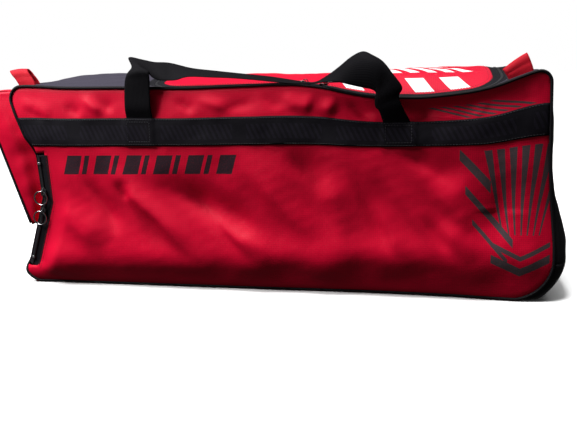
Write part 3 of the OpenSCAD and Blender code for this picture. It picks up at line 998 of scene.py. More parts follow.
# piece, CAD node, slot, the ends of its run round the rim, its two depths, and what is cut out of it
BOXING = (
    ("base_cloth", "base_panel", "black_fabric", (0, RUN_RIGHT_BASE), WHOLE, None),
    ("right_end_cloth", "right_end_panel", "black_fabric", (RUN_RIGHT_BASE, RUN_RIGHT_TOP), WHOLE, None),
    ("left_end_cloth", "left_end_panel", "red_fabric", (RUN_LEFT_TOP, rim_run[-1]), WHOLE, None),
    ("top_right_cloth", "top_right_panel", "charcoal_fabric", (RUN_RIGHT_TOP, RUN_SEAM_RIGHT), WHOLE, lid_hole),
    ("top_left_cloth", "top_left_panel", "charcoal_fabric", (RUN_SEAM_LEFT, RUN_LEFT_TOP), WHOLE, lid_hole),
    ("top_front_cloth", "top_front_strip", "charcoal_fabric", STRIP, (-WIDE, LID_FRONT - WINDOW), None),
    ("top_back_cloth", "top_back_strip", "charcoal_fabric", STRIP, (HINGE[1] + 0.3, WIDE), None),
)
for name, node, slot, (s0, s1), (y0, y1), hole in BOXING:
    grid = cut_grid(span(s0, s1, 4.0), span(y0, y1, 4.0), hole)
    size = (abs(s1 - s0) * MM, (y1 - y0) * MM)
    lost = 0.0
    if hole is not None:
        lost = float((hole(*np.meshgrid(span(s0, s1, 2), span(y0, y1, 2), indexing="ij")) > 0).mean())
    sewn(name, node, slot, grid, boxing, [SKINS[slot], lining], True)


# --- piping round both panels


def piping(name, node, shape, y_sign):
    path, _ = outline_line(1.5, 4.0)
    x, y, z = shape(path[:, 0], path[:, 1])
    line = np.stack([x, y + y_sign * 1.6, np.maximum(z, 2.9)], 1)
    points, faces, uv = sweep(line, disc(2.5, sides=10), (0, 1, 0), closed=True)
    return settle(Parts().add(points, faces, uv).obj(name, [piping_skin]), BAG, "piping", node)


piping("front_piping_cord", "front_piping", front_shape, -1)
piping("back_piping_cord", "back_piping", back_shape, 1)


# --- bands of webbing sewn on the panels


def edge_x(z, side):
    """x of the panel's outline at height z"""
    part = OUTLINE[(OUTLINE[:, 0] > 0) if side > 0 else (OUTLINE[:, 0] < 0)]
    order = np.argsort(part[:, 1])
    return np.interp(z, part[order, 1], part[order, 0])


def over_legs(x):
    """how far the band rises over the handles' sewn ends"""
    return 2.3 * sum(smooth(31, HALF_STRAP, np.abs(x - leg)) for leg in (LEG_LEFT, LEG_RIGHT))


def band(name, node, shape, flip=False):
    u = np.linspace(0, 1, 236)
    z = span(BAND_LOW, BAND_HIGH, 3.6)
    uu, zz = np.meshgrid(u, z, indexing="ij")
    a, b = edge_x(zz, -1) + 4, edge_x(zz, 1) - 4
    xx = a + (b - a) * uu
    edge = bump(np.abs(zz - (BAND_LOW + BAND_HIGH) / 2), 25, 2.2)
    lift = 2.3 - 0.5 * edge + 0.35 * ripples(xx, zz, 60, 41) + over_legs(xx)
    obj = grid_mesh(name, np.stack(shape(xx, zz, lift), -1), (xx, zz), [band_weave], flip)
    return settle(solid(obj, 1.7), BAG, "webbing", node)


band("front_band_webbing", "front_band", front_shape)
band("back_band_webbing", "back_band", back_shape, flip=True)

band_stitches = Parts()
for shape, sign in ((front_shape, -1), (back_shape, 1)):
    for z in (BAND_LOW + 2.6, BAND_HIGH - 2.6):
        x = np.arange(edge_x(z, -1) + 8, edge_x(z, 1) - 8, 4.0)
        stitch_on(band_stitches, np.stack([x, np.full(x.shape, z)], 1), shape, 2.4 + over_legs(x), (0, sign, 0))
settle(band_stitches.obj("band_stitching", [dark_thread]), BAG, "webbing")


# --- the lid and its zip


def lid_cut(x, y):
    return lid_distance(x, y, -WINDOW)


LID_BACK = HINGE[1] + 6.0
lid_grid = cut_grid(span(LID_LEFT, LID_RIGHT, 4), span(LID_FRONT, LID_BACK, 4), lid_cut)


def lid_place(x, y):
    """the lid's cloth, a little lower at its edge seam and raised over the hinge seam"""
    seam = bump(lid_distance(x, y, -WINDOW), 0, 5)
    lap = smooth(HINGE[1] - 6, HINGE[1] + 1, y)
    return top_shape(x, y, 0.4 + 1.3 * lap - 0.6 * seam)


lid_cloth = cloth("lid_cloth", lid_grid, lid_place, [lid_red, lining], thickness=1.4)
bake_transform(lid_cloth)
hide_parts("lid_panel")


def lid_line():
    """the lid's zip line from the left hinge end round the front to the right, with outward directions"""
    line = [(LID_LEFT, HINGE[1] - 2)]
    line += arc((LID_LEFT, 0), (LID_LEFT, LID_FRONT), (0, LID_FRONT), LID_R)
    line += arc((0, LID_FRONT), (LID_RIGHT, LID_FRONT), (LID_RIGHT, 0), LID_R)
    line += [(LID_RIGHT, HINGE[1] - 2)]
    line = resample(line, 3.0)
    return line, right_of(line)


def tape_mesh(name, node, body, line, out, side, shape, flip=False):
    """one zipper tape: a strip beside a line, on its left (side -1) or right (side 1)"""
    e0, e1 = side * SLIT, side * TAPE
    es = np.array([e0, e0 + (e1 - e0) * 0.12, e0 + (e1 - e0) * 0.5, e0 + (e1 - e0) * 0.85, e1])
    grid = line[:, None] + out[:, None] * es[None, :, None]
    points = np.stack(shape(grid[..., 0], grid[..., 1]), -1)
    obj = grid_mesh(name, points, (es[None, :], run_along(line)[:, None]), [tape_weave], flip)
    return settle(solid(obj, 0.9), body, "zip_tape", node)


COIL_PITCH, COIL_TALL = 1.7, 1.9  # the teeth's step and height


def coil_parts(parts, line, out, side, shape, up):
    """interlocking teeth along a line; side is +1 or -1"""
    run = run_along(line)
    # the two sides' teeth stand half a step apart
    at = np.arange(2.0 + (0.5 if side > 0 else 0) * COIL_PITCH, run[-1] - 2, COIL_PITCH)
    p = np.stack([np.interp(at, run, line[:, k]) for k in (0, 1)], 1)
    n = unit(np.stack([np.interp(at, run, out[:, k]) for k in (0, 1)], 1))
    ahead = np.stack([-n[:, 1], n[:, 0]], 1)
    # each tooth's section, as (distance across, share of its height): the arch, then its two feet
    section = [(-0.9, 0.25), (-0.75, 0.8), (0.4, 1.0), (1.9, 0.85), (2.5, 0.2), (-0.9, 0.0), (2.5, 0.0)]
    ring = []
    for e, h in section:
        for w in (-0.42, 0.42):
            q = p + n * (e * side) + ahead * (w * COIL_PITCH)
            ring.append(np.stack(shape(q[:, 0], q[:, 1]), 1) + up * (h * COIL_TALL))
    ring = np.stack(ring, 1)
    faces = [[0, 1, 3, 2], [2, 3, 5, 4], [4, 5, 7, 6], [6, 7, 9, 8]]
    faces += [[10, 11, 1, 0], [8, 9, 13, 12], [0, 2, 4, 6, 8, 12, 10], [1, 11, 13, 9, 7, 5, 3]]
    for tooth in ring:
        parts.add(tooth, faces)


def coil(name, body, line, out, sides, shape, up):
    teeth = Parts()
    for side in sides:
        coil_parts(teeth, line, out, side, shape, up)
    settle(teeth.obj(name, [coil_nylon], soft=False), body, "zip_tape")


def tape_on_top(x, y):
    return top_shape(x, y, -0.4)


line, out = lid_line()
tape_mesh("lid_zip_tape", "lid_tape", "lid", line, out, -1, tape_on_top, flip=True)
tape_mesh("frame_zip_tape", "lid_frame_tape", BAG, line, out, 1, tape_on_top)
coil("lid_zip_coil", "lid", line, out, (-1,), tape_on_top, UP)
coil("frame_zip_coil", BAG, line, out, (1,), tape_on_top, UP)

for name, body, es, off, skin in (
    ("lid_stitching", "lid", (-WINDOW - 3, -WINDOW - 8), 0.5, thread),
    ("frame_stitching", BAG, (WINDOW + 3,), 0.1, dark_thread),
):
    rows = Parts()
    for e in es:
        stitch_on(rows, line + out * e, top_shape, off, UP, 0.32)
    settle(rows.obj(name, [skin]), body, "lid_fabric")


# --- the end zip

# its middle line from the top down, with the corners eased
DOWN_LINE = resample([ZIP_TOP + (0, 8), ZIP_TOP, ZIP_BEND, ZIP_FOOT, ZIP_FOOT - (3, 8)], 2.5)
for _ in range(3):
    DOWN_LINE[1:-1] = (DOWN_LINE[:-2] + 2 * DOWN_LINE[1:-1] + DOWN_LINE[2:]) / 4
DOWN_OUT = -right_of(DOWN_LINE)


def on_front(x, z):
    return front_shape(x, z, -0.8)


tape_mesh("end_front_zip_tape", "end_front_tape", BAG, DOWN_LINE, DOWN_OUT, 1, on_front)
tape_mesh("end_side_zip_tape", "end_side_tape", BAG, DOWN_LINE, DOWN_OUT, -1, on_front, flip=True)
coil("end_zip_coil", BAG, DOWN_LINE, DOWN_OUT, (1, -1), on_front, OUT)
rows = Parts()
for e in (WINDOW + 2.6, WINDOW + 7.5):
    stitch_on(rows, DOWN_LINE + DOWN_OUT * e, front_shape, 0.1, OUT, 0.32)
settle(rows.obj("end_zip_stitching", [thread]), BAG, "red_fabric")


# --- sliders, pulls and rings


def placing(at, along, up):
    """4x4 that carries x to along and z to up, with its origin at at"""
    along, up = unit(np.asarray(along, float)), np.asarray(up, float)
    up = unit(up - along * (up @ along))
    m = np.eye(4)
    m[:3, 0], m[:3, 1], m[:3, 2], m[:3, 3] = along, np.cross(up, along), up, at
    return m


SLIDER_PIN = 5.4  # height of a pull's pin over the zip
HALF_SHELL = [(-8, 3.4), (-6.8, 5.2), (-1, 5.5), (3, 5.0), (8, 2.6)]
SLIDER_SHELL = np.array([(x, -y) for x, y in HALF_SHELL] + [(8.2, 2.6)] + HALF_SHELL[-2::-1])
SLIDER_RIB = np.array([(-6.5, -1.5), (6, -1.1), (6, 1.1), (-6.5, 1.5)])
SLIDER_WING = np.array([(-7.4, 4.5), (-7.4, 5.4), (2, 5.4), (5.4, 4.1), (5.2, 3.4), (1.6, 4.5)])
HALF_BRIDGE = [(-4.6, 0, 3.4), (-4.2, 0, 6.0), (-2.6, 0, 7.9)]
SLIDER_BRIDGE = HALF_BRIDGE + [(0, 0, 8.4)] + [(-x, 0, z) for x, _, z in HALF_BRIDGE[::-1]]


def moving(parts, name, node, skin=None, slot="slider_metal"):
    """a small piece that rides on the body with its CAD node's name"""
    settle(parts.obj(name, [skin or slider_paint]), node, slot, node)


def slider_parts(place, turned=False, far_wing=True):
    """a coil zipper slider: two shells, flanges and a bridge for its pull, with the zip along x"""
    parts = Parts()
    lower = SLIDER_SHELL if far_wing else np.maximum(SLIDER_SHELL, (-99, -0.5))
    plates = [(SLIDER_SHELL, 2.2, 3.7, 0.45), (SLIDER_RIB, 3.5, 4.2, 0.3)]
    plates += [((SLIDER_WING * (1, side))[::side], 0.5, 2.4, 0.25) for side in (-1, 1)]
    plates += [(lower, -2.4, -1.5, 0.3)]
    for outline, z0, z1, bevel in plates:
        parts.add(*plate_parts([outline], z0, z1, bevel), place=place)
    bridge = spline(SLIDER_BRIDGE, 18)
    thick, up = 1.3, (0, 1, 0)
    if turned:
        bridge = bridge[:, [1, 0, 2]] * (1, 0.8, 1)
        thick, up = 0.65, (1, 0, 0)
    return parts.add(*sweep(bridge, disc(0.65, thick, 8), up), place=place)


def flat_pull(place):
    """a flat pull with a long slot and a grooved grip, from its pin along x"""
    parts = Parts()
    plates = [([rounded(-1.2, 26, -3.9, 3.9, 2.4), rounded(0.9, 8.2, -2.1, 2.1, 1.2)], -0.8, 0.8, 0.3)]
    plates += [([rounded(10.4, 24.6, -3.0, 3.0, 1.6), rounded(11.3, 23.7, -2.2, 2.2, 1.2)], 0.6, 1.15, 0.12)]
    plates += [([rounded(x - 0.5, x + 0.5, -1.7, 1.7, 0.45)], 0.6, 1.1, 0.12) for x in (13.4, 15.8, 18.2, 20.6)]
    for loops, z0, z1, bevel in plates:
        parts.add(*plate_parts(loops, z0, z1, bevel), place=place)
    return parts.add(*sweep([(-0.2, -3.3, 0), (-0.2, 3.3, 0)], disc(0.85, sides=10), UP), place=place)


for side, sign in (("left", -1), ("right", 1)):
    at = middle(f"lid_{side}_slider")
    pin = pivot(f"lid_{side}_pull_swing")
    # down by most of the way from the CAD's flat zip line to the hanging one
    lower = np.array([0, 0, (point_on(top_shape, at[0], LID_FRONT)[2] - TOP) * 0.75])
    place = placing(np.array([at[0], LID_FRONT, pin[2] - SLIDER_PIN]) + lower, (sign, 0, 0), UP)
    moving(slider_parts(place, far_wing=False), f"lid_{side}_zip_slider", f"lid_{side}_slider")
    moving(flat_pull(placing(pin + lower, (sign, 0, 0), UP)), f"lid_{side}_zip_pull", f"lid_{side}_pull")

RING_WIRE = 1.3  # radius of the rings' wire
for which, a, b, sign in (("upper", ZIP_BEND, ZIP_TOP, 1), ("lower", ZIP_FOOT, ZIP_BEND, -1)):
    pin = pivot(f"{which}_ring_swing")
    d = unit(b - a)
    place = placing(pin - OUT * SLIDER_PIN, (d[0] * sign, 0, d[1] * sign), OUT)
    moving(slider_parts(place), f"{which}_zip_slider", f"{which}_slider")
    radius = (box(f"{which}_ring")[1][0] - box(f"{which}_ring")[0][0]) / 2 - RING_WIRE
    turn = np.linspace(0, math.tau, 65)[:-1]
    circle = middle(f"{which}_ring") + radius * np.stack([np.cos(turn), 0 * turn, np.sin(turn)], 1)
    ring = Parts().add(*sweep(circle, disc(RING_WIRE, sides=12), (0, 1, 0), closed=True))
    moving(ring, f"{which}_ring_pull", f"{which}_ring", chrome, "chrome_ring")


def end_stop(parts, at, along, up):
    """a metal stop across a zip"""
    points, faces = plate_parts([np.array([(-2, -3.0), (2, -3.0), (2, 3.0), (-2, 3.0)])], 0.4, 2.8, 0.4)
    parts.add(points, faces, place=placing(at, along, up))


STOP_Y = HINGE[1] - 9.0
stops = Parts()
for x in (LID_LEFT, LID_RIGHT):
    end_stop(stops, np.array([x, STOP_Y, point_on(top_shape, x, STOP_Y)[2]]), (0, 1, 0), UP)
settle(stops.obj("lid_zip_end_stops", [steel]), BAG, "zip_metal", "lid_zip_stops")
stops = Parts()
for p, d in ((ZIP_TOP - (0, 7), ZIP_TOP - ZIP_BEND), (ZIP_FOOT + (2.5, 7), ZIP_BEND - ZIP_FOOT)):
    end_stop(stops, point_on(front_shape, *p), (d[0], 0, d[1]), OUT)
settle(stops.obj("end_zip_end_stops", [steel]), BAG, "zip_metal", "end_zip_stops")


# --- the end pocket

FACE_FOOT = np.array([LEFT + 6, 108.0])
FACE_RIM = np.array([LEFT - 62 + 3, TOP - 28])
FACE_LEN = float(np.linalg.norm(FACE_RIM - FACE_FOOT))
FACE_UP = (FACE_RIM - FACE_FOOT) / FACE_LEN
FACE_OUT = np.array([-FACE_UP[1], FACE_UP[0]])
POCKET_ZIP = FACE_LEN - 62
FACE_LEN += 22  # the face runs on up to the pocket's rim
POCKET_TOP = TOP - 9


def face_shape(s, y, off=0.0):
    """the pocket's outer face at s up it and y across"""
    swell = 6 * np.sin(math.pi * np.clip(s / FACE_LEN, 0, 1)) * np.cos(math.pi * y / 2 / POCKET_Y) ** 0.8
    uneven = smooth(0, 40, POCKET_Y - np.abs(y)) * (1.4 * ripples(s, y, 120, 51) + 0.2 * ripples(s, y, 45, 52))
    near = bump(s, POCKET_ZIP, 22)
    out = (swell * (1 - 0.6 * near) + uneven * (1 - near)) + off - 2
    x, z = (FACE_FOOT[k] + FACE_UP[k] * s + FACE_OUT[k] * out for k in (0, 1))
    return x, y, z


rim_y = POCKET_Y - 1.5
for name, node, s0, s1 in (
    ("pocket_upper_cloth", "pocket_upper_face", POCKET_ZIP + WINDOW, FACE_LEN),
    ("pocket_lower_cloth", "pocket_lower_face", 0, POCKET_ZIP - WINDOW),
):
    grid = cut_grid(span(s0, s1, 4), span(-rim_y, rim_y, 4))
    size = ((s1 - s0) * MM, 2 * rim_y * MM)
    sewn(name, node, "red_fabric", grid, face_shape, [plain_red, lining])

zip_path = np.stack([np.full(120, POCKET_ZIP), np.linspace(-rim_y, rim_y, 120)], 1)
zip_out = np.tile([1.0, 0.0], (120, 1))


def on_face(s, y):
    return face_shape(s, y, -0.6)


tape_mesh("pocket_upper_zip_tape", "pocket_upper_tape", BAG, zip_path, zip_out, 1, on_face, flip=True)
tape_mesh("pocket_lower_zip_tape", "pocket_lower_tape", BAG, zip_path, zip_out, -1, on_face)
face_out3 = np.array([FACE_OUT[0], 0, FACE_OUT[1]])
coil("pocket_zip_coil", BAG, zip_path[4:-4], zip_out[4:-4], (1, -1), on_face, face_out3)

pin = pivot("pocket_pull_swing")
place = placing(pin - face_out3 * SLIDER_PIN, (0, -1, 0), face_out3)
moving(slider_parts(place, turned=True), "pocket_zip_slider", "pocket_slider")
moving(flat_pull(placing(pin, (0, 0, -1), (-1, 0, 0))), "pocket_zip_pull", "pocket_pull")


def left_edge(y, z):
    """points just inside the left end cloth at depths y and heights z"""
    return np.stack(box_shape(edge_x(z, -1), y, z, 0 * z - 1, 0 * z), -1) + (1.0, 0, 0)


def gusset(name, node, y_at, sign):
    """a side of the pocket, between the edges of its face and of the left end"""
    rows, cols = 60, 24
    y = np.full(rows, float(y_at))
    outer = np.stack(face_shape(np.linspace(4, FACE_LEN - 1, rows), y), 1)
    inner = left_edge(y, np.linspace(114, POCKET_TOP, rows))
    t = np.linspace(0, 1, cols)[None, :]
    grid = outer[:, None] * (1 - t[..., None]) + inner[:, None] * t[..., None]
    up = np.linspace(0, 1, rows)[:, None]
    wide = np.linalg.norm(outer - inner, axis=1)[:, None]
    mid = np.sin(math.pi * t) * np.sin(math.pi * np.clip(up * 0.94 + 0.05, 0, 1))
    fold = 2.8 * bump(t - 0.2 * up, 0.35, 0.18) - 2.2 * bump(t, 0.64, 0.16)
    grid[..., 1] += sign * mid * (5 + fold + 0.7 * ripples(grid[..., 0], grid[..., 2], 60, 61 + sign))
    obj = grid_mesh(name, grid, (wide * t, up * FACE_LEN), [plain_red, lining], flip=sign < 0)
    settle(solid(obj), BAG, "red_fabric", node)


gusset("pocket_front_cloth", "pocket_front_gusset", -POCKET_Y + 1, -1)
gusset("pocket_back_cloth", "pocket_back_gusset", POCKET_Y - 1, 1)


ROOF = 62.0  # depth of the pocket's top


def roof(u, y):
    """the pocket's top from its rim to the left end"""
    a = np.stack(face_shape(np.full(np.shape(y), FACE_LEN), y), -1)
    b = left_edge(y, np.full(np.shape(y), POCKET_TOP))
    t = (u / ROOF)[..., None]
    p = a * (1 - t) + b * t
    p[..., 2] += np.sin(math.pi * t[..., 0]) * (2.5 + 1.2 * ripples(u, y, 70, 71))
    return p[..., 0], p[..., 1], p[..., 2]


grid = cut_grid(span(0, ROOF, 4), span(-rim_y, rim_y, 4))
size, skins = (ROOF * MM, 2 * rim_y * MM), [plain_red, lining]
sewn("pocket_top_cloth", "pocket_top_gusset", "red_fabric", grid, roof, skins)

corner = 6
loop = [(s, -rim_y) for s in span(4, FACE_LEN - corner, 4)]
for a in np.radians([30, 60]):
    loop.append((FACE_LEN - corner + corner * math.sin(a), -rim_y + corner - corner * math.cos(a)))
loop += [(FACE_LEN, y) for y in span(-rim_y + corner, rim_y - corner, 4)]
for a in np.radians([30, 60]):
    loop.append((FACE_LEN - corner + corner * math.cos(a), rim_y - corner + corner * math.sin(a)))
loop += [(s, rim_y) for s in span(FACE_LEN - corner, 4, 4)]
loop = np.array(loop)
path = np.stack(face_shape(loop[:, 0], loop[:, 1], 0.6), 1)
cord = Parts().add(*sweep(path, disc(2.7, sides=10), (1.0, 0.31, 0.52)))
settle(cord.obj("pocket_piping_cord", [piping_skin]), BAG, "piping", "pocket_piping")


# --- grab tabs


def tab(name, node, lean_top, turn, share_high, width):
    """a folded loop of red webbing that stands on the top and leans"""
    low, high = box(node)
    mid = (low + high) / 2
    tall = (high[2] - low[2]) * share_high
    half = (high[1] - low[1]) / 2 - 1.2
    profile = [(-half, -3), (-half, 6), (-half * 0.85, tall * 0.5), (-half * 0.8, tall * 0.75)]
    profile += [(-half * 0.45, tall * 0.93), (0, tall * 0.98)]
    profile += [(-y, z) for y, z in profile[-2::-1]]
    line = spline(profile, 44)
    xs_tab = span(mid[0] - width / 2, mid[0] + width / 2, 3)
    yy, xx = np.meshgrid(line[:, 0], xs_tab, indexing="ij")
    zz = np.broadcast_to(line[:, 1][:, None], yy.shape)
    share = np.clip(zz / tall, 0, 1)
    dx = xx - mid[0]
    base = top_shape(mid[0] + dx * math.cos(turn), mid[1] + yy)[2]
    px = mid[0] + dx * math.cos(turn) + lean_top * share**1.3 - zz * math.sin(turn) * 0.6
    py = mid[1] + yy + 2.0 * share * np.sin(dx / 12.0)
    pz = base + zz + dx * math.sin(turn) * share * 1.1 + 0.8 * share * np.cos(dx / 9.0)
    flat = (xs_tab[None, :], run_along(line)[:, None])
    obj = grid_mesh(name, np.stack([px, py, pz], -1), flat, [tab_weave])
    return settle(solid(obj, 2.2), BAG, "tab_fabric", node)


tab("left_grab_tab", "left_tab", -17, 0.04, 0.84, 33)
tab("right_grab_tab", "right_tab", -6, 0.3, 0.66, 37)


# --- handles


def strap(name, stations, count):
    """a ribbon through stations of (one edge, middle or None, other edge), with its thickness"""
    rows = [(a, np.add(a, b) / 2 if m is None else m, b) for a, m, b in stations]
    a, m, b = (spline([row[k] for row in rows], count) for k in range(3))
    t = np.linspace(-1, 1, 9)[None, :, None]
    # a parabola through the two edges and the middle
    grid = m[:, None] + (b - a)[:, None] / 2 * t + ((a + b)[:, None] / 2 - m[:, None]) * t * t
    flat = (np.linspace(-HALF_STRAP, HALF_STRAP, 9)[None, :], run_along(m)[:, None])
    obj = grid_mesh(name, grid, flat, [strap_weave])
    mod = obj.modifiers.new("thickness", "SOLIDIFY")
    mod.thickness = 2.0 * MM
    mod.offset = 0
    sub = obj.modifiers.new("smooth", "SUBSURF")
    sub.levels = sub.render_levels = 1
    return obj


A, B = LEG_LEFT - HALF_STRAP, LEG_LEFT + HALF_STRAP
C, D = LEG_RIGHT - HALF_STRAP, LEG_RIGHT + HALF_STRAP


def foot(x, z, shape=front_shape):
    """a point of the handle's sewn end, between the hanging cloth and the band"""
    return point_on(shape, x, z, 1.6)


# both handles' stations count their depth from the handle's pivot
front_loop = [
    ((A + 4, -1.5, 328), None, (B + 3, -1.5, 328)),
    ((A + 6, -2, 352), None, (B + 4, -2, 354)),
    ((A + 9, -2, 374), (-188, -3, 378), (B + 6, -3, 376)),
    ((A + 14, -1, 387), (-185, -4, 390), (B + 6, -4, 386)),
    ((A + 20, 7, 398), (-183, 2, 397), (B + 5, -1, 389)),
    ((A + 9, 22, 415), (-184, 12, 400), (-162, 3, 380)),
    ((-188, 29, 410), (-171, 18, 397), (-152, 5, 374)),
    ((-168, 33, 405), (-154, 22, 395), (-138, 6, 373)),
    ((-142, 38, 403), (-136, 28, 393), (-121, 7, 373)),
    ((-102, 41, 392), (-104, 26, 389), (-98, 7, 378)),
    ((-60, 40, 386), (-58, 24, 384), (-58, 7, 376)),
    ((-15, 38, 380), (-13, 22, 379), (-14, 8, 373)),
    ((40, 36, 373), (40, 22, 372), (38, 8, 367)),
    ((80, 36, 366), (80, 22, 365), (80, 8, 362)),
    ((112, 35, 361), (114, 20, 362), (116, 6, 361)),
    ((136, 31, 372), (138, 14, 368), (138, 3, 363)),
    ((158, 26, 386), (156, 9, 378), (158, -2, 362)),
    ((180, 21, 402), (174, 2, 387), (178, -4, 357)),
    ((198, 17, 409), (194, -3, 392), (198, -5, 352)),
    ((214, 13, 402), (212, -7, 390), (212, -6, 349)),
    ((230, 6, 392), (225, -9, 380), (219, -6, 344)),
    ((245, -2, 374), (236, -8, 364), (218, -6, 338)),
    ((261, -4, 352), (243, -8, 346), (217, -5, 331)),
    ((256, -3, 338), (240, -5, 331), (218, -3, 321)),
    ((261, -2, 322), (244, -3, 318), (224, -1.5, 314)),
]


def from_pivot(joint, stations):
    """stations with their depth counted from a joint's pivot, put in place"""
    shift = (0, pivot(joint)[1], 0)
    return [tuple(p if p is None else np.add(p, shift) for p in row) for row in stations]


def handle(side, stations, count):
    """a carrying loop, sewn to the bag"""
    obj = strap(f"{side}_handle_strap", stations, count)
    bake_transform(obj)
    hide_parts(f"{side}_handle")


front_stations = [(foot(A + 3, z), None, foot(B + 3, z)) for z in (296, 312)]
front_stations += from_pivot("front_handle_swing", front_loop)
front_stations += [(foot(D - 4, 309), None, foot(C + 1, 305)), (foot(D, 296), None, foot(C + 1, 292))]
handle("front", front_stations, 170)

grip_low = box("back_handle")[0][2]
grip_high = grip_low + HALF_STRAP


def back_leg(outer, inner, leg, s):
    """stations from under the band down to the grip; s is 1 for the left leg and -1 for the right one"""
    return [
        ((outer, -1, 321), None, (inner, -1, 321)),
        ((outer, 2.5, 320), None, (inner, 2.5, 320)),
        ((outer, 3.5, 300), None, (inner, 3.5, 300)),
        ((outer + 2 * s, 3, 262), None, (inner - 2 * s, 3, 268)),
        ((outer + 4 * s, 4, 234), (leg + 4 * s, 6, 240), (inner - 2 * s, 5, 252)),
        ((outer + 16 * s, 5, 216), (leg + 14 * s, 8, 228), (inner + 4 * s, 6, 243)),
        ((outer + 44 * s, 6, grip_low - 3), (leg + 34 * s, 9, grip_low + 10), (inner + 22 * s, 6, grip_high)),
    ]


back_loop = back_leg(A, B, LEG_LEFT, 1)
for x, x_mid, sag in ((-100, -98, 8), (30, 30, 12), (160, 160, 8)):
    back_loop.append(((x, 6, grip_low - sag), (x_mid, 9, grip_low + 12 - sag), (x_mid, 6, grip_high - sag)))
back_loop += back_leg(D, C, LEG_RIGHT, -1)[::-1]
back_stations = [(foot(A, z, back_shape), None, foot(B, z, back_shape)) for z in (296, 310)]
back_stations += from_pivot("back_handle_swing", back_loop)
back_stations += [(foot(D, z, back_shape), None, foot(C, z, back_shape)) for z in (310, 296)]
handle("back", back_stations, 130)


def handle_ends(name, node, shape, sign):
    """the handle's ends, flat between the cloth and the band, with boxes of stitches on the band"""
    low, high = box(node)
    ends = Parts()
    stitches = Parts()
    for mid in (LEG_LEFT, LEG_RIGHT):
        xs_end, zs_end = span(mid - HALF_STRAP, mid + HALF_STRAP, 5), span(low[2], high[2], 4)
        xx, zz = np.meshgrid(xs_end, zs_end, indexing="ij")
        front = np.stack(shape(xx, zz, 2.6), -1).reshape(-1, 3)
        back = np.stack(shape(xx, zz, 0.6), -1).reshape(-1, 3)
        index = np.arange(xx.size).reshape(xx.shape)
        quads = grid_quads(*xx.shape)
        border = np.concatenate([index[:, 0], index[-1, 1:], index[::-1, -1][1:], index[0, ::-1][1:-1]])
        sides = [[a, b, b + xx.size, a + xx.size] for a, b in zip(border, np.roll(border, -1))]
        faces = quads.tolist() + (quads[:, ::-1] + xx.size).tolist() + sides
        uv = np.stack([xx.ravel(), zz.ravel()], 1)
        ends.add(np.vstack([front, back]), faces, np.vstack([uv, uv]))
        x0, x1, z0, z1 = mid - 21, mid + 21, low[2] + 6, high[2] - 7
        row = resample([(x0, z0), (x1, z0), (x1, z1), (x0, z1), (x0, z0)], 2.0)
        stitch_on(stitches, row, shape, 4.7, (0, sign, 0))
    settle(ends.obj(name, [strap_weave]), BAG, "webbing", node)
    settle(stitches.obj(name + "_stitching", [dark_thread]), BAG, "webbing")


handle_ends("front_handle_sewn", "front_handle_ends", front_shape, -1)
handle_ends("back_handle_sewn", "back_handle_ends", back_shape, 1)


# --- inside: the base board and the divider


def divider(y, z):
    across = np.cos(math.pi * y / 2 / FRONT)
    sag = 5 * across * np.sin(math.pi * np.clip(z / TOP, 0, 1))
    x = middle("divider_panel")[0] + sag + 1.5 * ripples(y, z, 130, 81)
    return x, y, z - 12 * across**2 * (z / TOP) ** 4


board_top = box("base_board")[1][2]
grid = cut_grid(span(-190, 190, 5), span(board_top + 0.5, TOP - 8, 5))
size, skins = (0.38, (TOP - 8 - board_top) * MM), [lining, lining]
sewn("divider_cloth", "divider_panel", "lining", grid, divider, skins)

b0, b1 = box("base_board")
outline = rounded(b0[0], b1[0], b0[1], b1[1], 18.0, 15)
points, faces = plate_parts([outline], b0[2], b1[2], 1.2)
board = Parts().add(points, faces, points[:, :2]).obj("base_board_cover", [board_skin])
settle(board, BAG, "board", "base_board")


# ---------------------------------------------------------------- floor and light


AMBIENT = 0.07
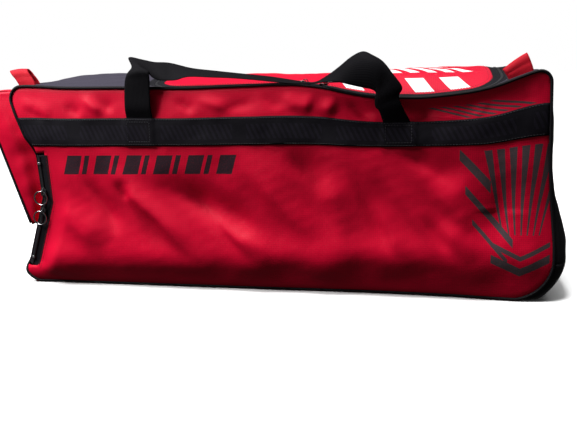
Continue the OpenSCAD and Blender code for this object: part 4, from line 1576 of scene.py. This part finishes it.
# name, kind, place, aimed at, size (degrees for a sun, metres for a softbox) and power
LIGHTS = (
    ("key", "SUN", (-0.45, -0.31, 2.6), (0, 0, 0), 16, 4.1),
    ("side", "AREA", (-0.95, -0.64, 1.0), (-0.35, -0.2, 0.2), 0.4, 18),
    ("top", "AREA", (0.4, 0.5, 2.2), (0, 0, 0.2), 1.2, 8),
    ("back", "AREA", (1.0, 1.6, 1.0), (0.1, 0.1, 0.2), 1.0, 22),
)


def studio():
    size = 14.0
    mesh = bpy.data.meshes.new("floor")
    corners = [(x * size, y * size, 0) for x, y in ((-1, -1), (1, -1), (1, 1), (-1, 1))]
    mesh.from_pydata(corners, [], [(0, 1, 2, 3)])
    floor = bpy.data.objects.new("floor", mesh)
    floor.location.z = -0.0006
    bpy.context.scene.collection.objects.link(floor)
    paint = Paint("floor_paint", (0.93, 0.93, 0.93), 0.9, specular=0.2)
    place = paint.place()
    mottled = paint.noise(place, 2.0, 3.0)
    mesh.materials.append(paint.finish(paint.mix(mottled, (0.94, 0.94, 0.94), (0.91, 0.91, 0.91))))
    floor.visible_diffuse = floor.visible_glossy = False
    world = bpy.data.worlds.new("studio")
    world.use_nodes = True
    nodes, links = world.node_tree.nodes, world.node_tree.links
    background = next(n for n in nodes if n.type == "BACKGROUND")
    background.inputs["Color"].default_value = (1, 1, 1, 1)
    path = nodes.new("ShaderNodeLightPath")
    seen = nodes.new("ShaderNodeMapRange")
    seen.inputs["To Min"].default_value = AMBIENT
    links.new(path.outputs["Is Camera Ray"], seen.inputs["Value"])
    links.new(seen.outputs[0], background.inputs["Strength"])
    bpy.context.scene.world = world
    for name, kind, where, at, size, power in LIGHTS:
        data = bpy.data.lights.new(name, kind)
        if kind == "SUN":
            data.angle = math.radians(size)
        else:
            data.size = size
        data.energy = power
        lamp = bpy.data.objects.new(name, data)
        lamp.visible_glossy = name != "back"
        lamp.location = where
        lamp.rotation_euler = (Vector(at) - Vector(where)).to_track_quat("-Z", "Y").to_euler()
        bpy.context.scene.collection.objects.link(lamp)
    bpy.context.scene.view_settings.view_transform = "Standard"


studio()
